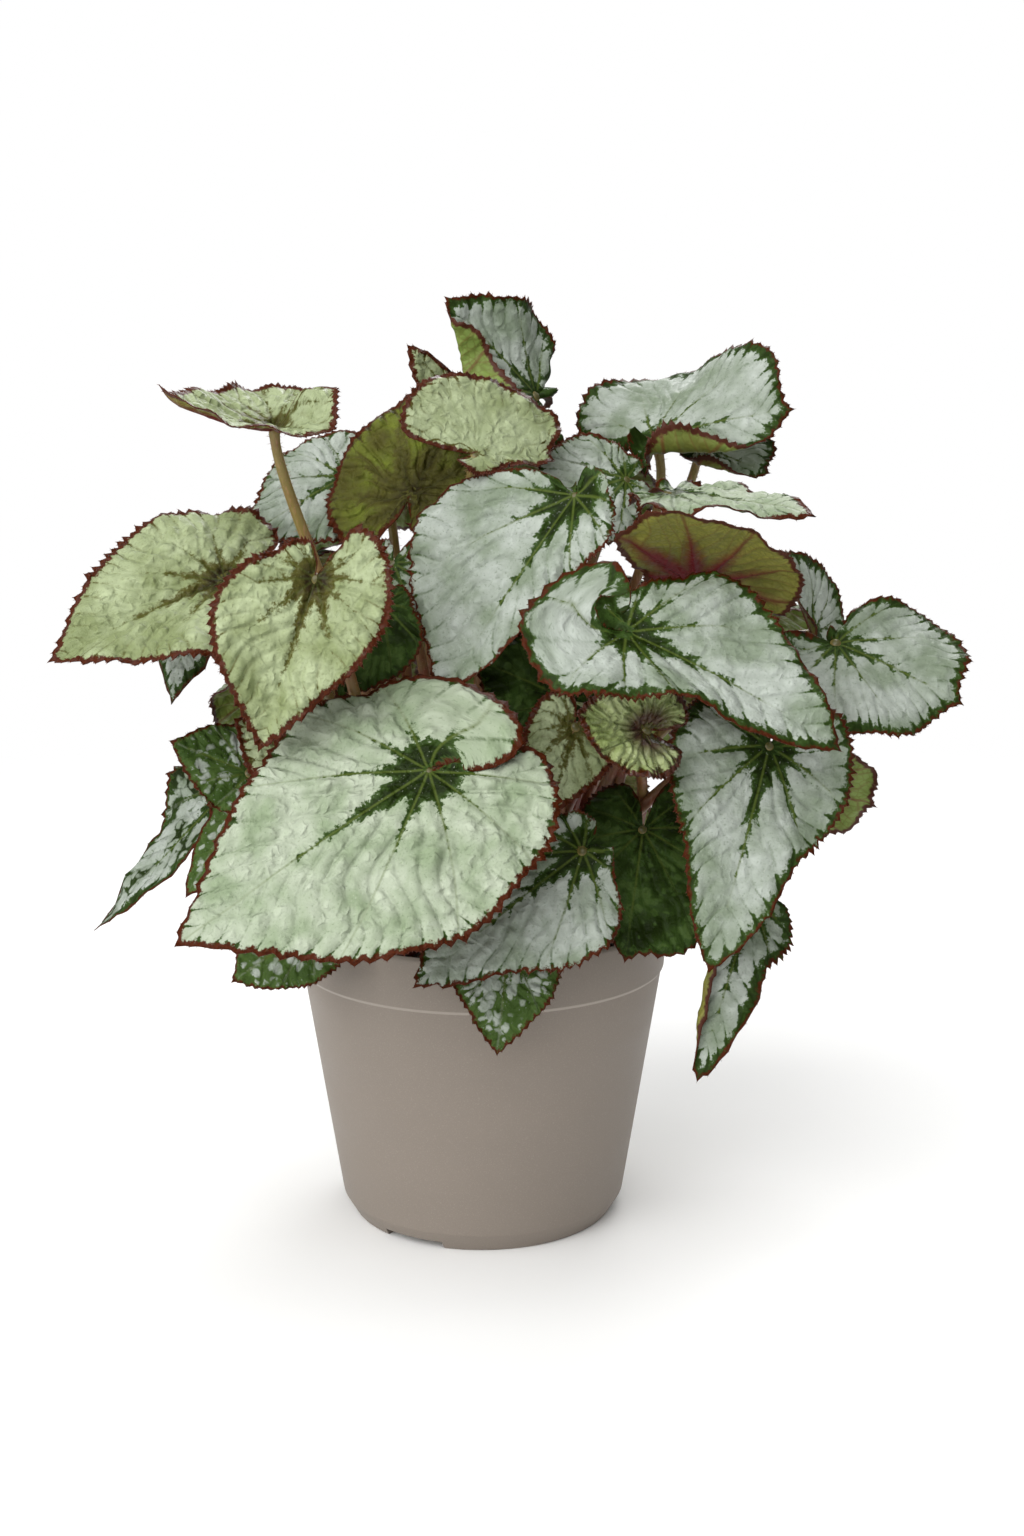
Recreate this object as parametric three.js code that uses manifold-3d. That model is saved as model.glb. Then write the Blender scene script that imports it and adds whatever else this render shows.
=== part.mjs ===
// A rex begonia in its nursery pot. Millimetres, +Z up, the pot standing on Z = 0 and
// centred on the origin; -Y is the side that faces a viewer.
import * as THREE from "three";
import { mergeVertices } from "three/addons/utils/BufferGeometryUtils.js";
import Module from "manifold-3d";

const wasm = await Module();
wasm.setup();

// ---------------------------------------------------------------- driving dimensions
const GAP = 0.3; // clearance between pieces that touch
const ROUND = 40; // sides of the pot and of the soil
const WELD = 1e-4; // vertices nearer than this are one

const NOTCH_WIDTH = 25; // the water notches in the foot ring
const NOTCH_ANGLES = [-31, 88, 207]; // degrees from the front toward +X
const NOTCH_DEEP = 14; // measured across the ring
const DRAIN_HOLES = 6;
const DRAIN_RADIUS = 5;
const DRAIN_SIDES = 12;
const DRAIN_CIRCLE = 32; // radius that their centres lie on
const FOOT_RADIUS = 51;
const FLOOR_RADIUS = 49.5;
const FLOOR_UNDER = 3.2; // height of the floor's underside
const FLOOR_TOP = 4.8; // and of its top
const WALL_INSIDE = [[54.2, 8.5], [68.6, 98.6]]; // inner wall, radius and height
// Half section of the pot, radius and height: the centre boss and foot ring that it
// stands on, up the wall to the rim band, over the rim and down the inside.
const POT_PROFILE = [
  [0, 0], [14, 0], [16, FLOOR_UNDER], [45, FLOOR_UNDER], [46, 0], [FOOT_RADIUS, 0],
  [55.5, 7.5], [69.9, 98], [70.8, 99], [72.4, 117.5], [71.6, 119], [70.8, 118.4],
  WALL_INSIDE[1], WALL_INSIDE[0], [FLOOR_RADIUS, FLOOR_TOP], [15, FLOOR_TOP],
  [13, 1.6], [0, 1.6],
];
const SOIL_TOP = 106;
const SOIL_DOME = 4; // how much higher the soil stands in the middle
// The soil's top, as radius and the share of that dome, outside in.
const SOIL_SURFACE = [[61, 0], [34, 0.7], [0, 1]];

const BLADE = 0.9; // thickness of a leaf blade
const STALK = 2; // radius of a leaf stalk
const STALK_SIDES = 5;
const STALK_STEPS = 5;
const TOOTH = 0.025; // depth of the teeth on the margin, of the blade's length
const COVER = 168; // half angle round the stalk that the blade covers, degrees

// From the stalk to the margin, of the distance from the stalk to the tip, by the angle
// off the midrib: a broad pointed heart.
const OUTLINE = [
  [0, 1], [8, 0.9], [20, 0.8], [40, 0.69], [70, 0.6], [100, 0.54], [130, 0.5],
  [155, 0.44], [172, 0.36], [250, 0.3],
];
const HALF_WIDTH = 0.57;
const CREASE_RADIUS = 2.5; // of the bend where a margin is folded over
const FOLD_STEPS = 6; // over which the fold and roll across a side are added up
// Degrees off the midrib over which a side takes its width, and its heel, and over which
// a lobe winds on, and rises.
const WIDENS = [0, 30];
const HEEL = [50, 115];
const WINDS = [100, COVER];
const RISES = [95, COVER];
const WIND_BUILDS = [0.1, 0.7]; // over these shares of the way out to the margin
const LIFT_BUILDS = [0, 0.25]; // over these shares of the blade's length
// Rings from the stalk to the margin and steps round, by the size of the leaf.
const LATTICE = {
  large: { steps: 24, rings: [0.14, 0.55, 1] },
  medium: { steps: 18, rings: [0.5, 1] },
  small: { steps: 14, rings: [0.55, 1] },
};

const RHIZOME = 6; // radius of the rhizomes, which lie half sunk in the soil
const RHIZOME_SIDES = 9;
const RHIZOME_STEPS = 5;
const RHIZOME_RISE = [2, 4, 3]; // height of the axis over the soil's edge
const TRENCH = 0.45; // clearance of the trench that a rhizome lies in
const ROOTED = 0.06; // no stalk grows nearer to a rhizome's ends than this share of it
const CROWNS = [
  { name: "crown_front_left", axis: [[-8, -10], [-22, -18], [-36, -30]] },
  { name: "crown_front_right", axis: [[10, -12], [24, -20], [38, -30]] },
  { name: "crown_back_left", axis: [[-12, 12], [-24, 22], [-38, 28]] },
  { name: "crown_back_right", axis: [[12, 10], [26, 20], [36, 32]] },
];

const RISE = 0.4; // how far a stalk climbs before it turns, as a share of its reach
const CROOK = 0.22; // and the usual crook

// Each leaf: where the stalk meets the blade, the tip, and roughly where the upper face
// looks. Left and right are as seen from above with the tip ahead, and a pair is
// [left, right]. What a leaf leaves out is straight, flat and of the usual width.
//   from   the rhizome it grows from, and how far along it (0 to 1)
//   wide   half widths, as shares of the usual ones
//   heel   the same, behind the stalk only
//   bend   droop of the tip, degrees
//   fold   rise of each side, degrees
//   roll   turn of each edge down, degrees
//   swirl  how far each lobe winds on round the stalk, degrees
//   lift   rise of each lobe as it winds, mm
//   wave   waves of the margin: height in mm, how many, phase in degrees
//   twist  turn of the tip about the midrib, degrees
//   crease what lies left of the line between two points is folded up, by an angle in
//          degrees; the points are along the midrib and to its left, of its length
//   lean   which way the stalk sets out from the rhizome, mm in X and Y
//   crook  how far the stalk runs square to the blade, as a share of its reach
const LEAVES = [
  // front, from the left to the right
  { name: "leaf_front_big", from: [0, 1], at: [-18, -92, 191], tip: [-99, -118, 138],
    face: [-0.15, -0.8, 0.6], size: "large", wide: [1, 0.86], heel: [0.9, 0.85],
    bend: 14, roll: [18, 14], swirl: [0, 50], lift: [0, 3], wave: [2, 9, 0] },
  { name: "leaf_left_heart", from: [0, 0.8], at: [-56, -80, 255], tip: [-75, -88, 199],
    face: [0, -0.9, 0.4], size: "large", wide: [0.85, 0.96], heel: [1, 0.5], bend: 10,
    fold: [18, 18], roll: [20, 20], wave: [1, 8, 0], lean: [0, -60] },
  { name: "leaf_left_far", from: [0, 0.6], at: [-91, -45, 251], tip: [-148, -66, 225],
    face: [-0.3, -0.7, 0.65], size: "large", wide: [1, 1], bend: 14, fold: [14, 14],
    roll: [20, 20], wave: [1.2, 8, 40] },
  { name: "leaf_left_top", from: [0, 0.4], at: [-71, -58, 305], tip: [-106, -84, 317],
    face: [0, -0.25, 0.95], size: "large", wide: [0.9, 0.9], heel: [1.2, 1.2],
    bend: -30, fold: [8, 20], lift: [14, 6], wave: [1, 8, 0], lean: [-10, 0], crook: 0.1 },
  { name: "leaf_left_strip", from: [2, 0.9], at: [-99, -20, 257], tip: [-114, -28, 206],
    face: [-0.5, -0.8, 0.2], size: "small", wide: [0.8, 0.8], heel: [0.3, 0.3],
    bend: 10, lean: [50, -20] },
  { name: "leaf_cup", from: [2, 0.1], at: [-2, -30, 295], tip: [26, -17, 293],
    face: [0.1, -0.6, 0.8], size: "large", wide: [1.7, 0.5], heel: [1.2, 1.1], bend: 8,
    fold: [25, 0], roll: [0, 40], swirl: [0, 12], lean: [30, -40] },
  { name: "leaf_behind_cup", from: [2, 0.3], at: [-26, -16, 278], tip: [-5, 8, 318],
    face: [-0.2, -0.8, 0.5], size: "large", wide: [1.2, 0.9], heel: [1, 0.6], bend: 10,
    roll: [20, 20], wave: [1, 7, 0] },
  { name: "leaf_behind_left", from: [2, 0.5], at: [-51, 6, 286], tip: [-87, -6, 264],
    face: [-0.1, -0.8, 0.6], size: "medium", bend: 15, roll: 15 },
  { name: "leaf_centre_big", from: [1, 0.1], at: [33, -45, 281], tip: [-14, -63, 211],
    face: [-0.1, -0.75, 0.65], size: "large", wide: [0.5, 1.03], heel: [0.6, 0.12],
    bend: 12, fold: [20, 4], roll: [40, 20], swirl: [30, 0], lift: [6, 0],
    wave: [1.6, 7, 60] },
  { name: "leaf_behind_centre", from: [3, 0.1], at: [54, -2, 285], tip: [17, -8, 276],
    face: [0, -0.92, 0.4], size: "medium", wide: [1.1, 1.1], heel: [0.5, 0.5], bend: 15,
    roll: 15 },
  { name: "leaf_top", from: [3, 0.0], at: [21, 14, 316], tip: [-12, 2, 351],
    face: [0.54, -0.64, 0.54], size: "large", wide: [1.3, 1.05], heel: [0.7, 0.35],
    wave: [3.5, 8, 0], twist: -50, crease: [[0.3, 0.4], [1, 0], 150] },
  { name: "leaf_top_left", from: [2, 0.2], at: [-4, 28, 308], tip: [-27, 14, 334],
    face: [0.1, -0.9, 0.4], size: "medium", wide: [0.8, 0.45] },
  { name: "leaf_top_right", from: [3, 0.4], at: [65, 7, 300], tip: [113, -11, 313],
    face: [0, -0.6, 0.8], size: "large", wide: [1.35, 0.9], heel: [1.1, 0.45], bend: 5,
    fold: [5, 0], wave: [8, 3.6, -20], crease: [[0.98, -0.12], [0.15, -0.3], 140] },
  { name: "leaf_right_oval", from: [3, 0.6], at: [84, 20, 297], tip: [109, 10, 287],
    face: [0, -0.7, 0.6], size: "medium", wide: [1.35, 0.9], heel: [0.6, 0.6],
    crease: [[1, -0.1], [0.05, -0.25], 140], lean: [0, -10] },
  { name: "leaf_right_edge", from: [3, 0.8], at: [68, -20, 281], tip: [115, -56, 275],
    face: [0, -0.2, 0.98], size: "medium", wide: [0.7, 0.8], heel: [0.6, 0.6], bend: 10,
    roll: 10, wave: [2, 9, 0] },
  { name: "leaf_turned", from: [1, 0.3], at: [76, -50, 250], tip: [46, -76, 269],
    face: [0.2, 0.7, 0.7], size: "large", wide: [1.6, 0.6], heel: [1.05, 0.6], bend: 10,
    roll: [20, 20], wave: [1, 7, 0], lean: [20, 0] },
  { name: "leaf_spiral", from: [1, 0.5], at: [49, -84, 237], tip: [118, -104, 201],
    face: [0.1, -0.75, 0.65], size: "large", wide: [0.88, 0.56], heel: [0.4, 1.55],
    bend: 16, fold: [10, 14], roll: [16, 10], swirl: [30, 80], lift: [9, 0],
    wave: [2, 8, 0], lean: [40, 10] },
  { name: "leaf_right_far", from: [1, 0.7], at: [128, -40, 228], tip: [171, -52, 208],
    face: [0.3, -0.8, 0.5], size: "large", wide: [1.25, 1.2], heel: [0.2, 1], bend: 14,
    roll: [20, 20], wave: [3, 6, 0], lean: [0, -30] },
  { name: "leaf_right_curl", from: [3, 0.5], at: [124, -14, 228], tip: [106, -20, 260],
    face: [0.4, -0.7, 0.6], size: "medium", wide: [0.7, 1.1], bend: 20, fold: [40, 0],
    lean: [-10, -50], crook: 0.4 },
  { name: "leaf_right_droop", from: [1, 0.9], at: [100, -72, 196], tip: [78, -96, 123],
    face: [0.1, -0.9, 0.35], size: "large", wide: [0.68, 0.74], bend: 14, fold: [6, 6],
    roll: [14, 14], wave: [2, 7, 0], lean: [30, 40] },
  { name: "leaf_right_under", from: [1, 0.95], at: [112, -24, 172],
    tip: [147, -24, 165], face: [0.2, 0.8, 0.5], size: "medium", wide: [1.3, 1.3],
    bend: 20, roll: 20 },
  { name: "leaf_right_twist", from: [1, 1], at: [98, -56, 137], tip: [77, -76, 77],
    face: [0.1, -0.9, 0.3], size: "medium", wide: [0.5, 0.65], heel: [0.5, 0.5],
    fold: [0, 10], wave: [3, 5, 0], twist: 20, crease: [[1, 0], [0.3, -0.12], 150] },
  { name: "leaf_young", from: [1, 0.6], at: [56, -88, 204], tip: [31, -100, 212],
    face: [0, -0.95, 0.3], size: "medium", wide: [1.15, 1.15], fold: [24, 24],
    lean: [60, 30] },
  { name: "leaf_inner_dark", from: [1, 0.0], at: [32, -45, 208], tip: [-2, -52, 224],
    face: [0, -0.9, 0.4], size: "medium", wide: [1.1, 1.1] },
  { name: "leaf_inner_strip", from: [1, 0.4], at: [33, -60, 201], tip: [23, -71, 171],
    face: [0, -0.9, 0.4], size: "medium", wide: [0.9, 0.9], roll: 20, lean: [0, -60],
    crook: 0.14 },
  { name: "leaf_front_low", from: [0, 0.9], at: [35, -78, 160], tip: [-22, -98, 118],
    face: [0, -0.8, 0.6], size: "large", wide: [0.85, 0.76], heel: [0.35, 0.5],
    bend: 14, roll: [20, 20], wave: [2, 8, 0] },
  { name: "leaf_front_small", from: [0, 0.95], at: [9, -76, 125], tip: [5, -87, 90],
    face: [0, -1, 0.1], size: "medium", wide: [0.95, 0.95], bend: 10, fold: [10, 10] },
  { name: "leaf_front_dark", from: [1, 0.85], at: [58, -52, 162], tip: [50, -78, 121],
    face: [0.1, -0.9, 0.5], size: "medium", wide: [1.25, 0.85], bend: 10 },
  { name: "leaf_left_low", from: [2, 1], at: [-92, -20, 174], tip: [-145, -24, 119],
    face: [-0.4, -0.7, 0.6], size: "medium", wide: [0.45, 0.62], heel: [0.4, 0.3],
    wave: [3.5, 5, 0], twist: 10 },
  { name: "leaf_left_small", from: [0, 0.7], at: [-84, -46, 182], tip: [-111, -50, 194],
    face: [-0.2, -0.8, 0.6], size: "small", lean: [0, -60] },
  { name: "leaf_left_lowest", from: [0, 0.85], at: [-63, -62, 128], tip: [-89, -66, 110],
    face: [-0.2, -0.9, 0.3], size: "medium" },
  { name: "leaf_left_hang", from: [0, 0.75], at: [-86, -36, 175], tip: [-108, -42, 136],
    face: [-0.3, -0.9, 0.3], size: "small", wide: [0.5, 0.5] },
  { name: "leaf_left_inner", from: [0, 0.5], at: [-66, -50, 187], tip: [-88, -50, 202],
    face: [-0.2, -0.9, 0.4], size: "small" },
  { name: "leaf_middle_silver", from: [0, 0.1], at: [-32, -29, 256],
    tip: [-40, -42, 222], face: [-0.2, -0.9, 0.4], size: "medium", heel: [0.6, 0.6] },
  { name: "leaf_middle_dark", from: [0, 0.3], at: [-36, -52, 244], tip: [-50, -60, 211],
    face: [0.1, -0.9, 0.4], size: "medium", heel: [0.6, 0.6], lean: [-60, -60],
    crook: 0.14 },
  // sides
  { name: "leaf_side_left", from: [2, 0.9], at: [-70, 4, 214], tip: [-100, 12, 162],
    face: [-0.8, -0.1, 0.6], size: "medium", heel: [0.6, 0.6], bend: 16, roll: 18 },
  { name: "leaf_side_right", from: [3, 0.9], at: [90, 2, 206], tip: [124, 8, 154],
    face: [0.8, -0.1, 0.6], size: "medium", heel: [0.6, 0.6], bend: 16, roll: 18 },
  // back
  { name: "leaf_back_01", from: [2, 0.6], at: [-38, 50, 282], tip: [-82, 84, 250],
    face: [-0.3, 0.5, 0.8], size: "large", heel: [0.8, 0.8], bend: 16, roll: 18,
    wave: [1.5, 8, 0] },
  { name: "leaf_back_02", from: [3, 0.3], at: [36, 56, 286], tip: [62, 100, 258],
    face: [0.2, 0.6, 0.8], size: "large", bend: 16, roll: 18, wave: [1.5, 8, 50] },
  { name: "leaf_back_03", from: [2, 0.8], at: [-76, 32, 246], tip: [-142, 56, 218],
    face: [-0.4, 0.4, 0.8], size: "large", bend: 16, roll: 18, wave: [1.5, 8, 20],
    lean: [0, 10] },
  { name: "leaf_back_04", from: [3, 0.8], at: [84, 42, 240], tip: [144, 70, 208],
    face: [0.4, 0.4, 0.8], size: "large", bend: 16, roll: 18, wave: [1.5, 8, 70] },
  { name: "leaf_back_05", from: [2, 0.4], at: [-6, 76, 234], tip: [-24, 124, 182],
    face: [0, 0.8, 0.6], size: "large", bend: 16, roll: 18, wave: [1.5, 8, 10] },
  { name: "leaf_back_06", from: [2, 0.9], at: [-64, 72, 204], tip: [-108, 108, 156],
    face: [-0.4, 0.7, 0.6], size: "large", bend: 16, roll: 18, wave: [1.5, 8, 30] },
  { name: "leaf_back_07", from: [3, 0.6], at: [60, 78, 204], tip: [98, 120, 154],
    face: [0.3, 0.75, 0.6], size: "large", bend: 16, roll: 18, wave: [1.5, 8, 60] },
  { name: "leaf_back_08", from: [2, 0.95], at: [-90, 53, 176], tip: [-118, 74, 124],
    face: [-0.7, 0.4, 0.6], size: "medium", heel: [0.7, 0.7], bend: 16, roll: 18 },
  { name: "leaf_back_09", from: [3, 0.95], at: [98, 48, 174], tip: [130, 76, 120],
    face: [0.7, 0.4, 0.6], size: "medium", heel: [0.7, 0.7], bend: 16, roll: 18 },
  { name: "leaf_back_10", from: [2, 0.7], at: [-40, 84, 156], tip: [-58, 108, 102],
    face: [-0.2, 0.9, 0.4], size: "medium", bend: 16, roll: 18 },
  { name: "leaf_back_11", from: [3, 0.75], at: [36, 86, 152], tip: [54, 108, 96],
    face: [0.2, 0.9, 0.4], size: "medium", bend: 16, roll: 18 },
];

// ---------------------------------------------------------------- small helpers
const rad = THREE.MathUtils.degToRad;
const smoothstep = THREE.MathUtils.smoothstep;
const vec = (p) => new THREE.Vector3(...p);
const pair = (value = 0) => (Array.isArray(value) ? value : [value, value]);

function lookUp(table, x) {
  let i = 1;
  while (i < table.length - 1 && table[i][0] < x) i += 1;
  const [x0, y0] = table[i - 1];
  const [x1, y1] = table[i];
  return y0 + ((y1 - y0) * (x - x0)) / (x1 - x0);
}

function indexed(points, triangles) {
  const geometry = new THREE.BufferGeometry();
  const flat = points.flatMap((p) => [p.x, p.y, p.z]);
  geometry.setAttribute("position", new THREE.Float32BufferAttribute(flat, 3));
  geometry.setIndex(triangles.flat());
  return geometry;
}

// A closed mesh as a solid that can be joined and cut, and back again.
function toSolid(geometry) {
  geometry.deleteAttribute("normal");
  geometry.deleteAttribute("uv");
  const merged = mergeVertices(geometry, WELD);
  return new wasm.Manifold(new wasm.Mesh({
    numProp: 3,
    vertProperties: new Float32Array(merged.getAttribute("position").array),
    triVerts: new Uint32Array(merged.index.array),
  }));
}

function toGeometry(solid) {
  const mesh = solid.getMesh();
  const geometry = new THREE.BufferGeometry();
  geometry.setAttribute("position", new THREE.BufferAttribute(mesh.vertProperties, 3));
  geometry.setIndex(new THREE.BufferAttribute(mesh.triVerts, 1));
  return geometry;
}

// A solid of revolution about Z, from a half section of radius and height.
function turned(profile) {
  const points = profile.map(([radius, height]) => new THREE.Vector2(radius, height));
  return toSolid(new THREE.LatheGeometry(points, ROUND).rotateX(Math.PI / 2));
}

// A tube of even thickness along a curve, with flat ends square to it.
function tube(curve, radius, sides, steps) {
  const section = new THREE.Shape();
  for (let k = 0; k < sides; k += 1) {
    const a = (2 * Math.PI * k) / sides;
    const [x, y] = [radius * Math.cos(a), radius * Math.sin(a)];
    if (k === 0) section.moveTo(x, y);
    else section.lineTo(x, y);
  }
  return toSolid(new THREE.ExtrudeGeometry(section, { steps, extrudePath: curve }));
}

// ---------------------------------------------------------------- leaf blades
// The frame of a blade: along the chord from stalk to tip, across it to the left, and up
// out of the upper face. The midrib is an arc over that chord.
function bladeFrame(leaf) {
  const start = vec(leaf.at);
  const along = vec(leaf.tip).sub(start);
  const chord = along.length();
  along.normalize();
  const up = vec(leaf.face);
  up.addScaledVector(along, -up.dot(along)).normalize();
  const left = up.clone().cross(along);
  const bend = rad(leaf.bend || 0.01);
  const length = (chord * (bend / 2)) / Math.sin(bend / 2);
  return { start, along, left, up, bend, length };
}

// A point of the flat blade, along the midrib and to its left, after a fold along a
// crease, and how far the fold lifts it.
function creased(crease, length, u, v) {
  if (!crease) return [u, v, 0];
  const [first, second, turn] = crease;
  const [du, dv] = [second[0] - first[0], second[1] - first[1]];
  const size = Math.hypot(du, dv);
  const beyond = ((v - first[1] * length) * du - (u - first[0] * length) * dv) / size;
  if (beyond <= 0) return [u, v, 0];
  const angle = Math.min(beyond / CREASE_RADIUS, rad(turn));
  const straight = beyond - angle * CREASE_RADIUS;
  const moved = CREASE_RADIUS * Math.sin(angle) + straight * Math.cos(angle) - beyond;
  const lifted = CREASE_RADIUS * (1 - Math.cos(angle)) + straight * Math.sin(angle);
  return [u - (moved * dv) / size, v + (moved * du) / size, lifted];
}

// A point of the middle surface of a blade, by the angle off the midrib in degrees, plus
// to the left and minus to the right, and the share of the way out to the margin.
function bladePoint(leaf, frame, angle, share, tooth = 0) {
  let side = angle >= 0 ? 0 : 1;
  let sign = angle >= 0 ? 1 : -1;
  const off = Math.abs(angle);
  const swirl = pair(leaf.swirl)[side];
  const wind = swirl * smoothstep(off, ...WINDS) * smoothstep(share, ...WIND_BUILDS);
  const heel = 1 + (pair(leaf.heel ?? 1)[side] - 1) * smoothstep(off, ...HEEL);
  const broad = 1 + (pair(leaf.wide ?? 1)[side] - 1) * smoothstep(off, ...WIDENS);
  const reach = lookUp(OUTLINE, off) * broad * heel * (1 + tooth);
  const lobe = smoothstep(off, ...RISES) * smoothstep(share * reach, ...LIFT_BUILDS);
  const raised = pair(leaf.lift)[side] * lobe;
  const out = share * reach * frame.length;
  const ahead = out * Math.cos(rad(off + wind));
  const aside = sign * out * Math.sin(rad(off + wind));
  const [u, beside, lifted] = creased(leaf.crease, frame.length, ahead, aside);
  const v = Math.abs(beside);
  if (beside * sign < 0) { // it has crossed the midrib
    side = 1 - side;
    sign = -sign;
  }

  // Along the bent midrib.
  const turn = frame.bend / frame.length;
  const slope = frame.bend / 2 - turn * u;
  const forward = (Math.sin(frame.bend / 2) - Math.sin(slope)) / turn;
  const rise = (Math.cos(slope) - Math.cos(frame.bend / 2)) / turn;

  // Across it, with the side folded up and its edge rolled down.
  const fold = rad(pair(leaf.fold)[side]);
  const roll = rad(pair(leaf.roll)[side]);
  const half = HALF_WIDTH * pair(leaf.wide ?? 1)[side] * frame.length;
  let across = 0;
  let height = 0;
  for (let i = 0; i < FOLD_STEPS; i += 1) {
    const t = (v * (i + 0.5)) / FOLD_STEPS / half;
    const tilt = fold - roll * t * t;
    across += (Math.cos(tilt) * v) / FOLD_STEPS;
    height += (Math.sin(tilt) * v) / FOLD_STEPS;
  }
  const [waveHeight, waves, phase] = leaf.wave ?? [0, 0, 0];
  height += waveHeight * share * share * Math.sin(rad(waves * angle + phase));
  height += raised + lifted;
  across *= sign;

  // The tip may be turned about the midrib.
  const twist = rad(leaf.twist ?? 0) * Math.max(0, u / frame.length);
  const sideways = across * Math.cos(twist) - height * Math.sin(twist);
  const upwards = across * Math.sin(twist) + height * Math.cos(twist);
  return frame.start.clone()
    .addScaledVector(frame.along, forward - Math.sin(slope) * upwards)
    .addScaledVector(frame.up, rise + Math.cos(slope) * upwards)
    .addScaledVector(frame.left, sideways);
}

// A blade as a closed sheet: the same triangles on both faces and a wall round the edge.
function bladeGeometry(leaf) {
  const frame = bladeFrame(leaf);
  const { steps, rings } = LATTICE[leaf.size];
  const middle = [frame.start.clone()];
  rings.forEach((share, ring) => {
    for (let k = 0; k <= steps; k += 1) {
      const angle = -COVER + (2 * COVER * k) / steps;
      const rim = ring === rings.length - 1;
      const tooth = rim && k !== steps / 2 ? TOOTH * (k % 2 ? 1 : -1) : 0;
      middle.push(bladePoint(leaf, frame, angle, share, tooth));
    }
  });
  const at = (ring, k) => (ring < 0 ? 0 : 1 + ring * (steps + 1) + k);
  const faces = [];
  for (let k = 0; k < steps; k += 1) faces.push([0, at(0, k), at(0, k + 1)]);
  for (let ring = 1; ring < rings.length; ring += 1)
    for (let k = 0; k < steps; k += 1) {
      const [a, b] = [at(ring - 1, k), at(ring - 1, k + 1)];
      const [c, d] = [at(ring, k), at(ring, k + 1)];
      if (k < steps / 2) faces.push([a, c, d], [a, d, b]);
      else faces.push([a, c, b], [b, c, d]);
    }
  const sheet = indexed(middle, faces);
  sheet.computeVertexNormals();
  const normals = sheet.getAttribute("normal");
  const shifted = (distance) => middle.map((p, i) => {
    const n = new THREE.Vector3().fromBufferAttribute(normals, i);
    return p.clone().addScaledVector(n, distance);
  });
  const count = middle.length;
  const edge = [0];
  for (let ring = 0; ring < rings.length; ring += 1) edge.push(at(ring, 0));
  for (let k = 1; k <= steps; k += 1) edge.push(at(rings.length - 1, k));
  for (let ring = rings.length - 2; ring >= 0; ring -= 1) edge.push(at(ring, steps));
  const triangles = [...faces, ...faces.map(([a, b, c]) => [a + count, c + count, b + count])];
  edge.forEach((a, i) => {
    const b = edge[(i + 1) % edge.length];
    triangles.push([a, a + count, b + count], [a, b + count, b]);
  });
  return indexed([...shifted(BLADE / 2), ...shifted(-BLADE / 2)], triangles);
}

// ---------------------------------------------------------------- stalks and rhizomes
// The line that a rhizome lies along, drawn out at both ends if it is to be longer.
function crownCurve(crown, longer = 0) {
  const points = crown.axis.map(([x, y], i) => {
    return new THREE.Vector3(x, y, SOIL_TOP + RHIZOME_RISE[i]);
  });
  for (const end of [points[0], points[2]]) {
    const outward = end.clone().sub(points[1]).setLength(longer);
    end.add(outward);
  }
  return new THREE.CatmullRomCurve3(points);
}

// A stalk rises out of its rhizome and meets the blade square to it, just under it.
function stalkCurve(leaf) {
  const frame = bladeFrame(leaf);
  const [crown, share] = leaf.from;
  const foot = crownCurve(CROWNS[crown]).getPoint(ROOTED + (1 - 2 * ROOTED) * share);
  const out = frame.up.clone().multiplyScalar(Math.cos(frame.bend / 2))
    .addScaledVector(frame.along, -Math.sin(frame.bend / 2));
  const end = frame.start.clone().addScaledVector(out, -(BLADE / 2 + GAP));
  const reach = foot.distanceTo(end);
  const lean = leaf.lean ?? [0, 0];
  const first = foot.clone().add(new THREE.Vector3(lean[0], lean[1], RISE * reach));
  const last = end.clone().addScaledVector(out, -(leaf.crook ?? CROOK) * reach);
  return new THREE.CubicBezierCurve3(foot, first, last, end);
}

function stalkSolid(leaf) {
  return tube(stalkCurve(leaf), STALK, STALK_SIDES, STALK_STEPS);
}

function rhizomeSolid(crown, extra = 0) {
  return tube(crownCurve(crown, extra), RHIZOME + extra, RHIZOME_SIDES, RHIZOME_STEPS);
}

// ---------------------------------------------------------------- pot and soil
function potSolid() {
  const cuts = [];
  for (const angle of NOTCH_ANGLES) {
    const slot = new THREE.BoxGeometry(NOTCH_WIDTH, NOTCH_DEEP, 2 * FLOOR_UNDER);
    slot.translate(0, -FOOT_RADIUS, 0);
    slot.rotateZ(rad(angle));
    cuts.push(slot);
  }
  for (let i = 0; i < DRAIN_HOLES; i += 1) {
    const a = (2 * Math.PI * (i + 0.5)) / DRAIN_HOLES;
    const deep = 2 * FLOOR_TOP;
    const hole = new THREE.CylinderGeometry(DRAIN_RADIUS, DRAIN_RADIUS, deep, DRAIN_SIDES);
    hole.rotateX(Math.PI / 2);
    hole.translate(DRAIN_CIRCLE * Math.cos(a), DRAIN_CIRCLE * Math.sin(a), FLOOR_TOP);
    cuts.push(hole);
  }
  return cuts.reduce((pot, cut) => pot.subtract(toSolid(cut)), turned(POT_PROFILE));
}

// The soil fills the pot from the floor to just below the rim, clear of it all round.
function soilSolid() {
  const [lowRadius, lowHeight] = WALL_INSIDE[0];
  const [topRadius, topHeight] = WALL_INSIDE[1];
  const inside = (height) => {
    const share = (height - lowHeight) / (topHeight - lowHeight);
    return lowRadius + (topRadius - lowRadius) * share - GAP;
  };
  const start = lowHeight + GAP;
  const end = topHeight - 2 * GAP;
  const surface = SOIL_SURFACE.map(([radius, share]) => [radius, SOIL_TOP + SOIL_DOME * share]);
  return turned([
    [0, FLOOR_TOP + GAP], [FLOOR_RADIUS - 2 * GAP, FLOOR_TOP + GAP],
    [inside(start) - GAP, start], [inside(end), end], [topRadius, SOIL_TOP - 1], ...surface,
  ]);
}

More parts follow.
